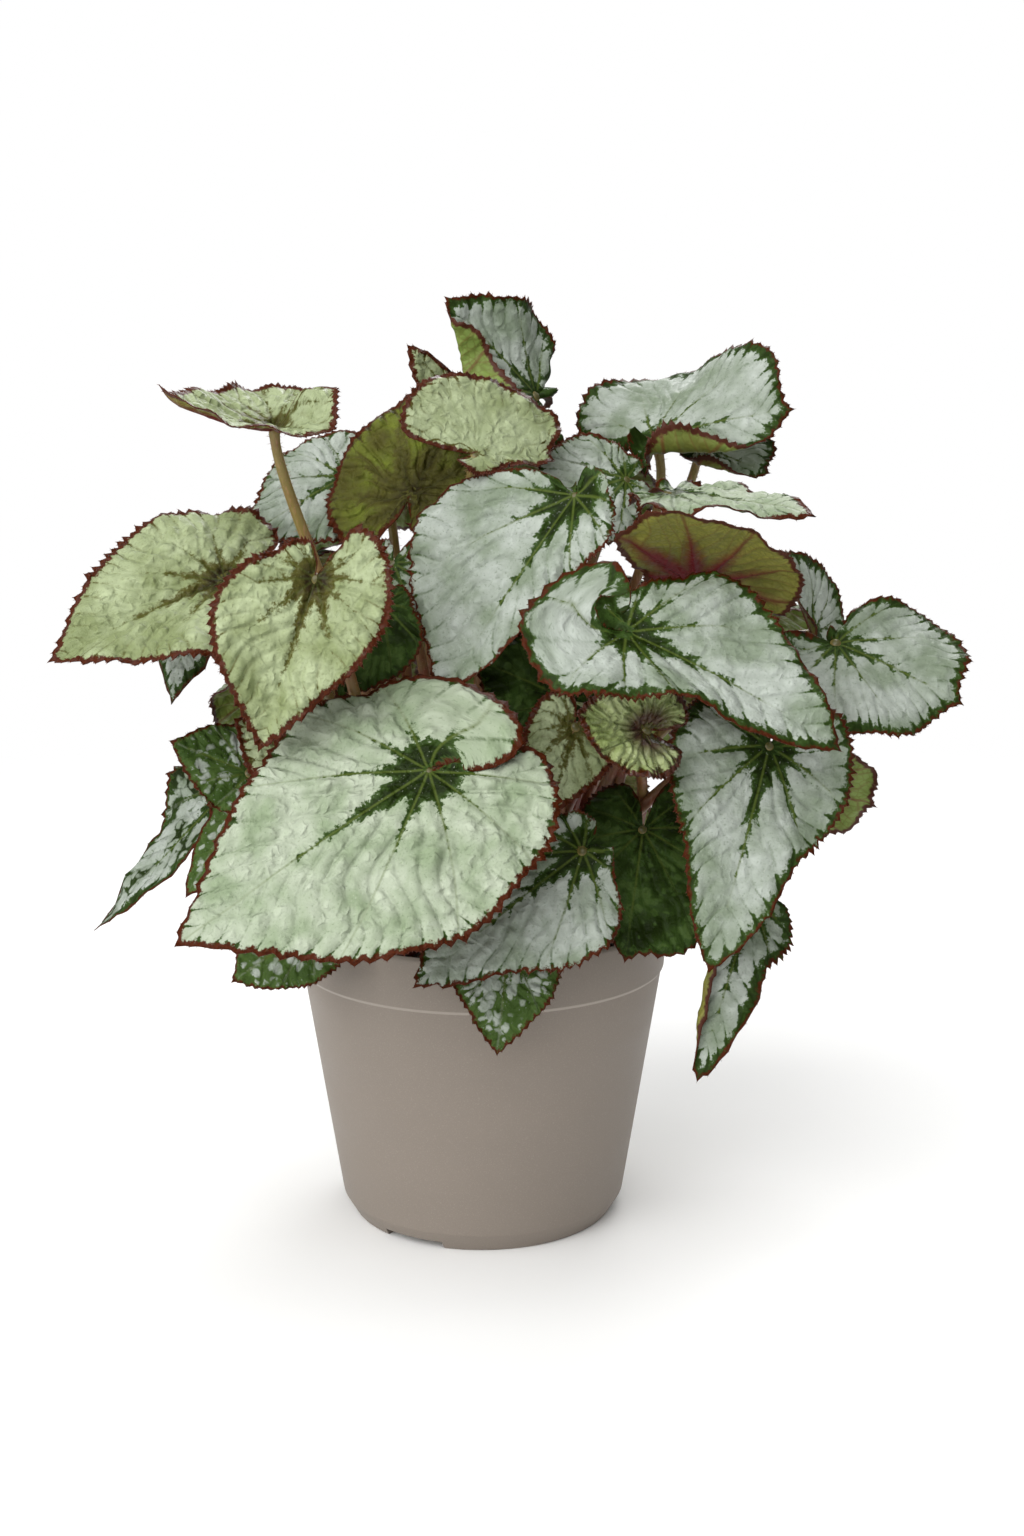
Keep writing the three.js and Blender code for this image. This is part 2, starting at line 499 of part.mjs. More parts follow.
// ---------------------------------------------------------------- the part
const COLOURS = {
  pot: 0x988d83,
  soil: 0x2a1c14,
  crown: 0x6b4a33,
  blade: 0xa9bfa2,
};
const part = new THREE.Group();
part.name = "potted_rex_begonia";

function add(name, geometry, colour) {
  const material = new THREE.MeshStandardMaterial({ color: colour, roughness: 0.7 });
  const mesh = new THREE.Mesh(geometry, material);
  mesh.name = name;
  part.add(mesh);
}

add("pot", toGeometry(potSolid()), COLOURS.pot);
let soil = soilSolid();
CROWNS.forEach((crown, i) => {
  const stalks = LEAVES.filter((leaf) => leaf.from[0] === i).map(stalkSolid);
  const solid = stalks.reduce((sum, stalk) => sum.add(stalk), rhizomeSolid(crown));
  soil = soil.subtract(rhizomeSolid(crown, TRENCH));
  add(crown.name, toGeometry(solid), COLOURS.crown);
});
add("soil", toGeometry(soil), COLOURS.soil);
for (const leaf of LEAVES) add(leaf.name, bladeGeometry(leaf), COLOURS.blade);

export default part;
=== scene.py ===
"""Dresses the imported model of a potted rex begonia: fine leaf blades with their veins,
coloured margins and bristles, hairy stalks, crumbled peat and a smooth moulded pot."""

import math
from functools import partial
from types import SimpleNamespace

import bpy
import numpy as np
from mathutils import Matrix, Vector


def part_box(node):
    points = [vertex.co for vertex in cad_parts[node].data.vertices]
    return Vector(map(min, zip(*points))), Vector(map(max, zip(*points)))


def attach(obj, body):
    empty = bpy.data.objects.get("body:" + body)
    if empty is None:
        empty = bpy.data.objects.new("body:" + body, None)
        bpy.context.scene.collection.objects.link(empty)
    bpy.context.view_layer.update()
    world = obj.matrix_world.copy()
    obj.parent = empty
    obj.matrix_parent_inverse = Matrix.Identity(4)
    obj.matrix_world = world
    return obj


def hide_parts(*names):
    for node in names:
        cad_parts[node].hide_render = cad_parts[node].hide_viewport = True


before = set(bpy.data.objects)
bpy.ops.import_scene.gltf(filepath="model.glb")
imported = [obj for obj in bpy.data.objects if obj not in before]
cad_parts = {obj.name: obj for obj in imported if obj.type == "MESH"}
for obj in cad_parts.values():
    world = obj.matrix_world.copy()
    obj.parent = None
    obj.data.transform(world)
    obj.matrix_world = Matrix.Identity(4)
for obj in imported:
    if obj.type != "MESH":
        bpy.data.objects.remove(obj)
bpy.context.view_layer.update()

bl_info = {
    "name": "Potted rex begonia",
    "version": (1, 0, 0),
    "blender": (4, 5, 0),
    "location": "View3D > Sidebar > Begonia",
    "description": "Builds the leaves, stalks, peat and pot round the packed model",
    "category": "Object",
}

MM = 0.001  # the shapes below are worked out in millimetres

# ---------------------------------------------------------------- blades' dimensions
CLEARANCE = 0.3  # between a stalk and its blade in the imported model
COVER = 168  # half angle round the stalk that a blade covers, degrees
HALF_WIDTH = 0.57  # of a usual blade, over its length
HEEL_CURVE = 150  # the lobes' ends are rounded off from here on, degrees off the midrib
# From the stalk to the margin, of the distance from the stalk to the tip, by the angle
# off the midrib: a broad pointed heart.
OUTLINE = np.array([
    (0, 1), (8, 0.9), (20, 0.8), (40, 0.69), (70, 0.6), (100, 0.54), (130, 0.5),
    (155, 0.44), (172, 0.36), (250, 0.3),
])
CREASE_RADIUS = 2.5  # of the bend where a margin is folded over
# Steps round a blade and rings out to its margin. A main vein runs along a whole step.
LATTICE = {"large": (288, 56), "medium": (216, 40), "small": (144, 28)}
RIB_STEP = 35  # angle between the main veins, degrees
VEIN_BOW = 6  # how far the veins bow toward the tip, degrees
# How far the dark star runs out along each main vein, of the blade's length, by the
# vein's angle off the midrib.
STAR_REACH = np.array([(0, 0.5), (35, 0.28), (70, 0.2), (105, 0.17), (140, 0.16), (175, 0.14)])
STAR_CORE = 0.12  # radius of the star's round middle, over the blade's length
# By a leaf's style: height of its puckers, and how deep the side veins cut into them.
QUILT = {
    "silver": (0.7, 1), "clear": (0.8, 1), "pale": (1.35, 0.85), "lime": (1.5, 0.7),
    "cup": (0.7, 0.1), "bronze": (1.2, 0.8), "dark": (0.9, 0.8), "mottled": (0.9, 0.6),
    "deep": (0.9, 0.8), "young": (2.4, 1),
}
PILLOW = 1.25  # length of a blade's raised cells along the side veins, over their spacing
RIB_HEIGHT = 0.9  # of the main veins, under the blade at the stalk
TOOTH = np.array([-0.15, 0.4, 1, 0.4])  # outline of a tooth over four steps of the margin
GROWN_LENGTH = 65  # a shorter blade has smaller teeth
BRISTLE_RADIUS = 0.19
PATTERN_GAP = 37  # between the blades' patterns, so that no two are alike
LEAF_IOR = 1.42

# ---------------------------------------------------------------- stalks' dimensions
SOIL_TOP = 106
RHIZOME = 6  # radius
RHIZOME_RISE = (2, 4, 3)  # of its axis over the soil, at its start, middle and end
ROOTED = 0.06  # of a rhizome's length, at each end, that bears no stalk
STALK_RISE = 0.4  # how far up a stalk sets out, over its reach
CROOK = 0.22  # how far it ends square to the blade, over its reach
HAIRS = 1.6  # for each millimetre of stalk
HAIR_RADIUS = 0.13
CROWNS = {
    "crown_front_left": ((-8, -10), (-22, -18), (-36, -30)),
    "crown_front_right": ((10, -12), (24, -20), (38, -30)),
    "crown_back_left": ((-12, 12), (-24, 22), (-38, 28)),
    "crown_back_right": ((12, 10), (26, 20), (36, 32)),
}

# ---------------------------------------------------------------- pot's dimensions
# Half section of the pot, radius and height in mm: the centre boss and the foot ring
# that it stands on, up the wall to the rim band, over the rim and down the inside.
POT_PROFILE = (
    (0, 0), (14, 0), (16, 3.2), (45, 3.2), (46, 0), (51, 0), (55.5, 7.5), (69.9, 98),
    (70.8, 99), (72.4, 117.5), (71.6, 119), (70.8, 118.4), (68.6, 98.6), (54.2, 8.5),
    (49.5, 4.8), (15, 4.8), (13, 1.6), (0, 1.6),
)
POT_EDGE = 0.7  # radius of its edges
RIM_EDGE = 98.6  # height of the rim band's lower edge
NOTCH_ANGLES = (-31, 88, 207)  # degrees from the front toward +X
NOTCH_SIZE = (25, 14, 6.4)
FOOT_RADIUS = 51
DRAIN_HOLES = 6
DRAIN_RADIUS = 5
DRAIN_CIRCLE = 32
PEAT_HEAP = 3.2  # rise of the peat's surface toward its middle
CRUMBS = 420

# ---------------------------------------------------------------- camera
CAMERA_PLACE = (0, -0.750, 0.314)  # metres
CAMERA_DOWN = 10.5  # degrees below level
CAMERA_YAW = -0.88  # degrees


def leaf(name, stalk, at, tip, face, size, style, wide=1, heel=1, fold=0, roll=0, swirl=0,
         lift=0, bend=0.01, twist=0, wave=(0, 0, 0), crease=None, lean=(0, 0), crook=CROOK):
    """One row of LEAVES. A single number stands for both sides, and a pair is (left,
    right), as seen from above with the tip ahead."""
    def pair(value):
        return value if isinstance(value, tuple) else (value, value)

    return SimpleNamespace(
        name=name, stalk=stalk, at=at, tip=tip, face=face, size=size, style=style,
        wide=pair(wide), heel=pair(heel), fold=pair(fold), roll=pair(roll),
        swirl=pair(swirl), lift=pair(lift), bend=math.radians(bend),
        twist=math.radians(twist), wave=wave, crease=crease, lean=lean, crook=crook)


# Each leaf: its name, its rhizome and how far along it it grows (0 to 1), where the stalk
# meets the blade, the tip and roughly where the upper face looks, in mm, and its lattice
# and style. Then, where it isn't the usual:
#   wide   half widths, as shares of the usual ones
#   heel   the same, behind the stalk only
#   fold   rise of each side, degrees
#   roll   turn of each edge down, degrees
#   swirl  how far each lobe winds on round the stalk, degrees
#   lift   rise of each lobe as it winds, mm
#   bend   droop of the tip, degrees
#   twist  turn of the tip about the midrib, degrees
#   wave   waves of the margin: height in mm, how many, phase in degrees
#   crease what lies left of the line between two points is folded up, by an angle in
#          degrees; the points are along the midrib and to its left, of its length
#   lean   which way the stalk sets out from the rhizome, mm in X and Y
#   crook  how far the stalk runs square to the blade, as a share of its reach
LEAVES = [
    # front, from the left to the right
    leaf("leaf_front_big", (0, 1), (-18, -92, 191), (-99, -118, 138), (-0.15, -0.8, 0.6),
         "large", "pale", wide=(1, 0.86), heel=(0.9, 0.85), roll=(18, 14), swirl=(0, 50),
         lift=(0, 3), bend=14, wave=(2, 9, 0)),
    leaf("leaf_left_heart", (0, 0.8), (-56, -80, 255), (-75, -88, 199), (0, -0.9, 0.4), "large",
         "lime", wide=(0.85, 0.96), heel=(1, 0.5), fold=18, roll=20, bend=10, wave=(1, 8, 0),
         lean=(0, -60)),
    leaf("leaf_left_far", (0, 0.6), (-91, -45, 251), (-148, -66, 225), (-0.3, -0.7, 0.65),
         "large", "lime", fold=14, roll=20, bend=14, wave=(1.2, 8, 40)),
    leaf("leaf_left_top", (0, 0.4), (-71, -58, 305), (-106, -84, 317), (0, -0.25, 0.95),
         "large", "lime", wide=0.9, heel=1.2, fold=(8, 20), lift=(14, 6), bend=-30,
         wave=(1, 8, 0), lean=(-10, 0), crook=0.1),
    leaf("leaf_left_strip", (2, 0.9), (-99, -20, 257), (-114, -28, 206), (-0.5, -0.8, 0.2),
         "small", "mottled", wide=0.8, heel=0.3, bend=10, lean=(50, -20)),
    leaf("leaf_cup", (2, 0.1), (-2, -30, 295), (26, -17, 293), (0.1, -0.6, 0.8), "large", "cup",
         wide=(1.7, 0.5), heel=(1.2, 1.1), fold=(25, 0), roll=(0, 40), swirl=(0, 12), bend=8,
         lean=(30, -40)),
    leaf("leaf_behind_cup", (2, 0.3), (-26, -16, 278), (-5, 8, 318), (-0.2, -0.8, 0.5), "large",
         "bronze", wide=(1.2, 0.9), heel=(1, 0.6), roll=20, bend=10, wave=(1, 7, 0)),
    leaf("leaf_behind_left", (2, 0.5), (-51, 6, 286), (-87, -6, 264), (-0.1, -0.8, 0.6),
         "medium", "clear", roll=15, bend=15),
    leaf("leaf_centre_big", (1, 0.1), (33, -45, 281), (-14, -63, 211), (-0.1, -0.75, 0.65),
         "large", "clear", wide=(0.5, 1.03), heel=(0.6, 0.12), fold=(20, 4), roll=(40, 20),
         swirl=(30, 0), lift=(6, 0), bend=12, wave=(1.6, 7, 60)),
    leaf("leaf_behind_centre", (3, 0.1), (54, -2, 285), (17, -8, 276), (0, -0.92, 0.4),
         "medium", "clear", wide=1.1, heel=0.5, roll=15, bend=15),
    leaf("leaf_top", (3, 0), (21, 14, 316), (-12, 2, 351), (0.54, -0.64, 0.54), "large",
         "silver", wide=(1.3, 1.05), heel=(0.7, 0.35), twist=-50, wave=(3.5, 8, 0),
         crease=((0.3, 0.4), (1, 0), 150)),
    leaf("leaf_top_left", (2, 0.2), (-4, 28, 308), (-27, 14, 334), (0.1, -0.9, 0.4), "medium",
         "lime", wide=(0.8, 0.45)),
    leaf("leaf_top_right", (3, 0.4), (65, 7, 300), (113, -11, 313), (0, -0.6, 0.8), "large",
         "silver", wide=(1.35, 0.9), heel=(1.1, 0.45), fold=(5, 0), bend=5, wave=(8, 3.6, -20),
         crease=((0.98, -0.12), (0.15, -0.3), 140)),
    leaf("leaf_right_oval", (3, 0.6), (84, 20, 297), (109, 10, 287), (0, -0.7, 0.6), "medium",
         "silver", wide=(1.35, 0.9), heel=0.6, crease=((1, -0.1), (0.05, -0.25), 140),
         lean=(0, -10)),
    leaf("leaf_right_edge", (3, 0.8), (68, -20, 281), (115, -56, 275), (0, -0.2, 0.98),
         "medium", "pale", wide=(0.7, 0.8), heel=0.6, roll=10, bend=10, wave=(2, 9, 0)),
    leaf("leaf_turned", (1, 0.3), (76, -50, 250), (46, -76, 269), (0.2, 0.7, 0.7), "large",
         "silver", wide=(1.6, 0.6), heel=(1.05, 0.6), roll=20, bend=10, wave=(1, 7, 0),
         lean=(20, 0)),
    leaf("leaf_spiral", (1, 0.5), (49, -84, 237), (118, -104, 201), (0.1, -0.75, 0.65), "large",
         "silver", wide=(0.88, 0.56), heel=(0.4, 1.55), fold=(10, 14), roll=(16, 10),
         swirl=(30, 80), lift=(9, 0), bend=16, wave=(2, 8, 0), lean=(40, 10)),
    leaf("leaf_right_far", (1, 0.7), (128, -40, 228), (171, -52, 208), (0.3, -0.8, 0.5),
         "large", "silver", wide=(1.25, 1.2), heel=(0.2, 1), roll=20, bend=14, wave=(3, 6, 0),
         lean=(0, -30)),
    leaf("leaf_right_curl", (3, 0.5), (124, -14, 228), (106, -20, 260), (0.4, -0.7, 0.6),
         "medium", "silver", wide=(0.7, 1.1), fold=(40, 0), bend=20, lean=(-10, -50),
         crook=0.4),
    leaf("leaf_right_droop", (1, 0.9), (100, -72, 196), (78, -96, 123), (0.1, -0.9, 0.35),
         "large", "silver", wide=(0.68, 0.74), fold=6, roll=14, bend=14, wave=(2, 7, 0),
         lean=(30, 40)),
    leaf("leaf_right_under", (1, 0.95), (112, -24, 172), (147, -24, 165), (0.2, 0.8, 0.5),
         "medium", "silver", wide=1.3, roll=20, bend=20),
    leaf("leaf_right_twist", (1, 1), (98, -56, 137), (77, -76, 77), (0.1, -0.9, 0.3), "medium",
         "silver", wide=(0.5, 0.65), heel=0.5, fold=(0, 10), twist=20, wave=(3, 5, 0),
         crease=((1, 0), (0.3, -0.12), 150)),
    leaf("leaf_young", (1, 0.6), (56, -88, 204), (31, -100, 212), (0, -0.95, 0.3), "medium",
         "young", wide=1.15, fold=24, lean=(60, 30)),
    leaf("leaf_inner_dark", (1, 0), (32, -45, 208), (-2, -52, 224), (0, -0.9, 0.4), "medium",
         "deep", wide=1.1),
    leaf("leaf_inner_strip", (1, 0.4), (33, -60, 201), (23, -71, 171), (0, -0.9, 0.4), "medium",
         "lime", wide=0.9, roll=20, lean=(0, -60), crook=0.14),
    leaf("leaf_front_low", (0, 0.9), (35, -78, 160), (-22, -98, 118), (0, -0.8, 0.6), "large",
         "clear", wide=(0.85, 0.76), heel=(0.35, 0.5), roll=20, bend=14, wave=(2, 8, 0)),
    leaf("leaf_front_small", (0, 0.95), (9, -76, 125), (5, -87, 90), (0, -1, 0.1), "medium",
         "dark", wide=0.95, fold=10, bend=10),
    leaf("leaf_front_dark", (1, 0.85), (58, -52, 162), (50, -78, 121), (0.1, -0.9, 0.5),
         "medium", "deep", wide=(1.25, 0.85), bend=10),
    leaf("leaf_left_low", (2, 1), (-92, -20, 174), (-145, -24, 119), (-0.4, -0.7, 0.6),
         "medium", "mottled", wide=(0.45, 0.62), heel=(0.4, 0.3), twist=10, wave=(3.5, 5, 0)),
    leaf("leaf_left_small", (0, 0.7), (-84, -46, 182), (-111, -50, 194), (-0.2, -0.8, 0.6),
         "small", "dark", lean=(0, -60)),
    leaf("leaf_left_lowest", (0, 0.85), (-63, -62, 128), (-89, -66, 110), (-0.2, -0.9, 0.3),
         "medium", "dark"),
    leaf("leaf_left_hang", (0, 0.75), (-86, -36, 175), (-108, -42, 136), (-0.3, -0.9, 0.3),
         "small", "dark", wide=0.5),
    leaf("leaf_left_inner", (0, 0.5), (-66, -50, 187), (-88, -50, 202), (-0.2, -0.9, 0.4),
         "small", "lime"),
    leaf("leaf_middle_silver", (0, 0.1), (-32, -29, 256), (-40, -42, 222), (-0.2, -0.9, 0.4),
         "medium", "clear", heel=0.6),
    leaf("leaf_middle_dark", (0, 0.3), (-36, -52, 244), (-50, -60, 211), (0.1, -0.9, 0.4),
         "medium", "deep", heel=0.6, lean=(-60, -60), crook=0.14),
    # sides
    leaf("leaf_side_left", (2, 0.9), (-70, 4, 214), (-100, 12, 162), (-0.8, -0.1, 0.6),
         "medium", "pale", heel=0.6, roll=18, bend=16),
    leaf("leaf_side_right", (3, 0.9), (90, 2, 206), (124, 8, 154), (0.8, -0.1, 0.6), "medium",
         "clear", heel=0.6, roll=18, bend=16),
    # back
    leaf("leaf_back_01", (2, 0.6), (-38, 50, 282), (-82, 84, 250), (-0.3, 0.5, 0.8), "large",
         "lime", heel=0.8, roll=18, bend=16, wave=(1.5, 8, 0)),
    leaf("leaf_back_02", (3, 0.3), (36, 56, 286), (62, 100, 258), (0.2, 0.6, 0.8), "large",
         "silver", roll=18, bend=16, wave=(1.5, 8, 50)),
    leaf("leaf_back_03", (2, 0.8), (-76, 32, 246), (-142, 56, 218), (-0.4, 0.4, 0.8), "large",
         "silver", roll=18, bend=16, wave=(1.5, 8, 20), lean=(0, 10)),
    leaf("leaf_back_04", (3, 0.8), (84, 42, 240), (144, 70, 208), (0.4, 0.4, 0.8), "large",
         "pale", roll=18, bend=16, wave=(1.5, 8, 70)),
    leaf("leaf_back_05", (2, 0.4), (-6, 76, 234), (-24, 124, 182), (0, 0.8, 0.6), "large",
         "clear", roll=18, bend=16, wave=(1.5, 8, 10)),
    leaf("leaf_back_06", (2, 0.9), (-64, 72, 204), (-108, 108, 156), (-0.4, 0.7, 0.6), "large",
         "pale", roll=18, bend=16, wave=(1.5, 8, 30)),
    leaf("leaf_back_07", (3, 0.6), (60, 78, 204), (98, 120, 154), (0.3, 0.75, 0.6), "large",
         "silver", roll=18, bend=16, wave=(1.5, 8, 60)),
    leaf("leaf_back_08", (2, 0.95), (-90, 53, 176), (-118, 74, 124), (-0.7, 0.4, 0.6), "medium",
         "lime", heel=0.7, roll=18, bend=16),
    leaf("leaf_back_09", (3, 0.95), (98, 48, 174), (130, 76, 120), (0.7, 0.4, 0.6), "medium",
         "silver", heel=0.7, roll=18, bend=16),
    leaf("leaf_back_10", (2, 0.7), (-40, 84, 156), (-58, 108, 102), (-0.2, 0.9, 0.4), "medium",
         "mottled", roll=18, bend=16),
    leaf("leaf_back_11", (3, 0.75), (36, 86, 152), (54, 108, 96), (0.2, 0.9, 0.4), "medium",
         "dark", roll=18, bend=16),
]


CRIMSON_BELOW = ("leaf_turned", "leaf_right_twist", "leaf_left_top")

# By a leaf's style: its finish, the settings that colour its skin, the skin's darker
# patches, the star and the margin's band, and what else isn't the usual.
STYLES = {
    "silver": ("blue silver", "silver silver_shade deep green",
               {"quilt": 0.55, "band_depth": 2.8, "red_width": 1}),
    "clear": ("blue silver out to the edge", "silver silver_shade deep green",
              {"quilt": 0.6, "band_depth": 0.6, "red_width": 1.1}),
    "pale": ("pale silver", "pale pale_shade deep green",
             {"band_depth": 1.2, "gloss": 0.38, "cut": 0.7, "veined": 0.7}),
    "lime": ("lime silver", "lime lime_shade brown tan",
             {"star_size": 0.3, "soft": 1.8, "band_depth": 0.6, "gloss": 0.34, "cut": 0.5,
              "dotted": 0.1, "shine": 0.15}),
    "cup": ("lime silver without a star", "lime lime_shade tan tan",
            {"star_size": -9, "soft": 2, "band_depth": 0.6, "gloss": 0.34, "cut": 0.1,
             "dotted": 0.1, "veined": 0.45, "shine": 0.2}),
    # Partly painted shade: the bronze is darkened for a leaf that lies in the shade behind the
    # cup leaf, over its own browning olive.
    "bronze": ("bronze green", "bronze tan brown tan",
               {"star_size": 3, "soft": 3, "band_depth": 2.5, "dotted": 0.1}),
    "dark": ("green with silver spots", "silver silver_shade green bright",
             {"spotted": 0.44, "quilt": 0.8, "red_width": 0.9}),
    "mottled": ("silver with green spots", "silver silver_shade deep green",
                {"spotted": 0.7, "quilt": 0.8, "red_width": 0.9}),
    # Partly painted shade: the inner leaves are given this dark green because they sit in the
    # shade of the leaves round them.
    "deep": ("dark green", "bright green deep green",
             {"spotted": 0.4, "quilt": 0.8, "red_width": 0.9}),
    "young": ("young and glossy", "olive olive_shade brown tan",
              {"gloss": 0.28, "star_size": -2, "blush": 0.42, "quilt": 1.6, "shine": 0.4}),
}


# ---------------------------------------------------------------- settings
def linear(hex_colour):
    """An sRGB hex colour as the linear values that Blender works in."""
    channels = [int(hex_colour[i:i + 2], 16) / 255 for i in (1, 3, 5)]
    return [c / 12.92 if c <= 0.04045 else ((c + 0.055) / 1.055) ** 2.4 for c in channels]


def colour_setting(name, hex_colour, description):
    return bpy.props.FloatVectorProperty(
        name=name, description=description, subtype="COLOR", size=3, min=0, max=1,
        default=linear(hex_colour))


def length_setting(name, default, least, most, description):
    return bpy.props.FloatProperty(
        name=name, description=description, unit="LENGTH", precision=5, min=least, max=most,
        default=default)


class BegoniaLeafSettings(bpy.types.PropertyGroup):
    """Thickness, relief and colours of the leaf blades."""
    thickness: length_setting(
        "Blade thickness", 0.0006, 0.0002, 0.002, "Thickness of a blade away from its veins")
    pucker: bpy.props.FloatProperty(
        name="Pucker", description="Height of the blade between its veins, over its length",
        default=0.014, min=0, max=0.04, precision=4)
    tooth: length_setting("Tooth", 0.0021, 0, 0.004, "Depth of the margin's small teeth")
    bristle: length_setting("Bristle", 0.001, 0, 0.005, "Length of the margin's bristles")
    silver: colour_setting("Silver", "#abb2a9", "Blue-silver skin of the grown leaves")
    silver_shade: colour_setting("Silver shade", "#7e8a76", "The same, in its darker patches")
    pale: colour_setting("Pale silver", "#b0b9a4", "Green-silver skin of the largest leaf")
    pale_shade: colour_setting("Pale shade", "#8b9a7c", "The same, in its darker patches")
    lime: colour_setting("Lime silver", "#a5b08a", "Yellow-green silver skin")
    lime_shade: colour_setting("Lime shade", "#828d62", "The same, in its darker patches")
    olive: colour_setting("Young olive", "#b4bf8a", "Skin of a leaf that still unfolds")
    olive_shade: colour_setting("Young olive shade", "#87965a", "The same, in its valleys")
    green: colour_setting("Vein green", "#33481c", "Green along the veins and the margin")
    # Partly painted shade: darkened for the leaf that lies in the shade behind the cup leaf.
    bronze: colour_setting("Bronze green", "#68722a", "Skin of a leaf that browns")
    tan: colour_setting("Olive brown", "#4e4c20", "Along the veins of a yellow-green leaf")
    bright: colour_setting("Bright green", "#455a2a", "Skin of a green leaf")
    deep: colour_setting("Deep green", "#182405", "The star round the stalk")
    brown: colour_setting("Star brown", "#201806", "The star on a yellow-green leaf")
    vein: colour_setting("Main vein", "#4c5a24", "Main veins inside the star")
    maroon: colour_setting("Maroon", "#3a1216", "Flush in the middle of a young leaf")
    rim: colour_setting("Margin red", "#431b08", "The toothed margin")
    under: colour_setting("Underside green", "#71843e", "Underside near the margin")
    under_warm: colour_setting("Underside warm", "#7e7c38", "The same, where its middle is red")
    under_olive: colour_setting("Underside olive", "#5c5c24", "Underside nearer the stalk")
    under_vein: colour_setting("Underside vein", "#5e3018", "Veins of the underside")
    crimson: colour_setting("Crimson", "#5e0a1c", "Underside round the stalk")


class BegoniaStalkSettings(bpy.types.PropertyGroup):
    """Size and colours of the stalks and rhizomes."""
    foot: length_setting("Foot radius", 0.0024, 0.001, 0.005, "Of a stalk at the rhizome")
    top: length_setting("Top radius", 0.0017, 0.001, 0.005, "Of a stalk under its blade")
    hair: length_setting("Hair", 0.0017, 0, 0.005, "Length of the hairs on the stalks")
    olive: colour_setting("Stalk olive", "#84733c", "Stalks near the blades")
    red: colour_setting("Stalk red", "#7c3a2c", "Stalks near the rhizome")
    hairs: colour_setting("Hair colour", "#b98468", "Hairs of the stalks")


class BegoniaPotSettings(bpy.types.PropertyGroup):
    """The pot and the peat in it."""
    plastic: colour_setting("Pot plastic", "#80766c", "Taupe polypropylene")
    peat: colour_setting("Peat", "#2b1d14", "Moist peat")
    crumb: length_setting("Crumb", 0.003, 0.001, 0.008, "Size of the peat's larger crumbs")


class BegoniaStageSettings(bpy.types.PropertyGroup):
    """Floor, light and camera."""
    floor: colour_setting("Floor", "#f8f8f7", "Plain pale floor")
    key: bpy.props.FloatProperty(
        name="Key light", description="Power of the large soft light, in watts",
        default=26.5, min=0, max=200)
    sky: bpy.props.FloatProperty(
        name="Sky", description="Strength of the even light from all round",
        default=0.46, min=0, max=3)
    lens: bpy.props.FloatProperty(
        name="Lens", description="Focal length for a 36 mm tall picture",
        default=46.41, min=20, max=200)


# ---------------------------------------------------------------- materials
def fill(node, *values, **named):
    """Fills a node's inputs, in order or by name, and its settings by name. A value is a
    number, a colour, or a socket or node to link, and a node stands for its first output.
    A MapRange takes its value, the two ends that it maps from and the two it maps to."""
    inputs = dict(enumerate(values))
    for name, value in named.items():
        label = name.replace("_", " ")
        if label in node.inputs:
            inputs[label] = value
        else:
            setattr(node, name, value)
    for key, value in inputs.items():
        socket = node.inputs[key]
        if isinstance(value, bpy.types.Node):
            value = value.outputs[0]
        if isinstance(value, bpy.types.NodeSocket):
            node.id_data.links.new(value, socket)
        elif socket.type == "RGBA":
            socket.default_value = (*value[:3], 1)
        else:
            socket.default_value = value
    return node


def add_node(tree, kind, *values, **named):
    """Adds a node to the tree, with its settings and links."""
    return fill(tree.nodes.new("ShaderNode" + kind), *values, **named)


def new_material(name):
    """A new material, its shader, and a function that adds a node to it."""
    material = bpy.data.materials.new(name)
    material.use_nodes = True
    tree = material.node_tree
    return material, tree.nodes["Principled BSDF"], partial(add_node, tree)


def times(share, colour):
    return [share * c for c in colour]


def blade_fields(add):
    """The fields that a blade's mesh carries: mm from the nearest main vein, mm from the
    nearest side vein, mm inside the star, mm from the margin, distance from the stalk
    over the blade's length, and flat coordinates in mm."""
    veins = add("SeparateXYZ", add("Attribute", attribute_name="veins").outputs["Vector"])
    margin = add("SeparateXYZ", add("Attribute", attribute_name="margin").outputs["Vector"])
    flat = add("Attribute", attribute_name="flat").outputs["Vector"]
    count = add("Math", veins.outputs[1], 0.5, operation="PINGPONG")
    side = add("Math", count, margin.outputs[1], operation="MULTIPLY")
    return veins.outputs[0], side, veins.outputs[2], margin.outputs[0], margin.outputs[2], flat


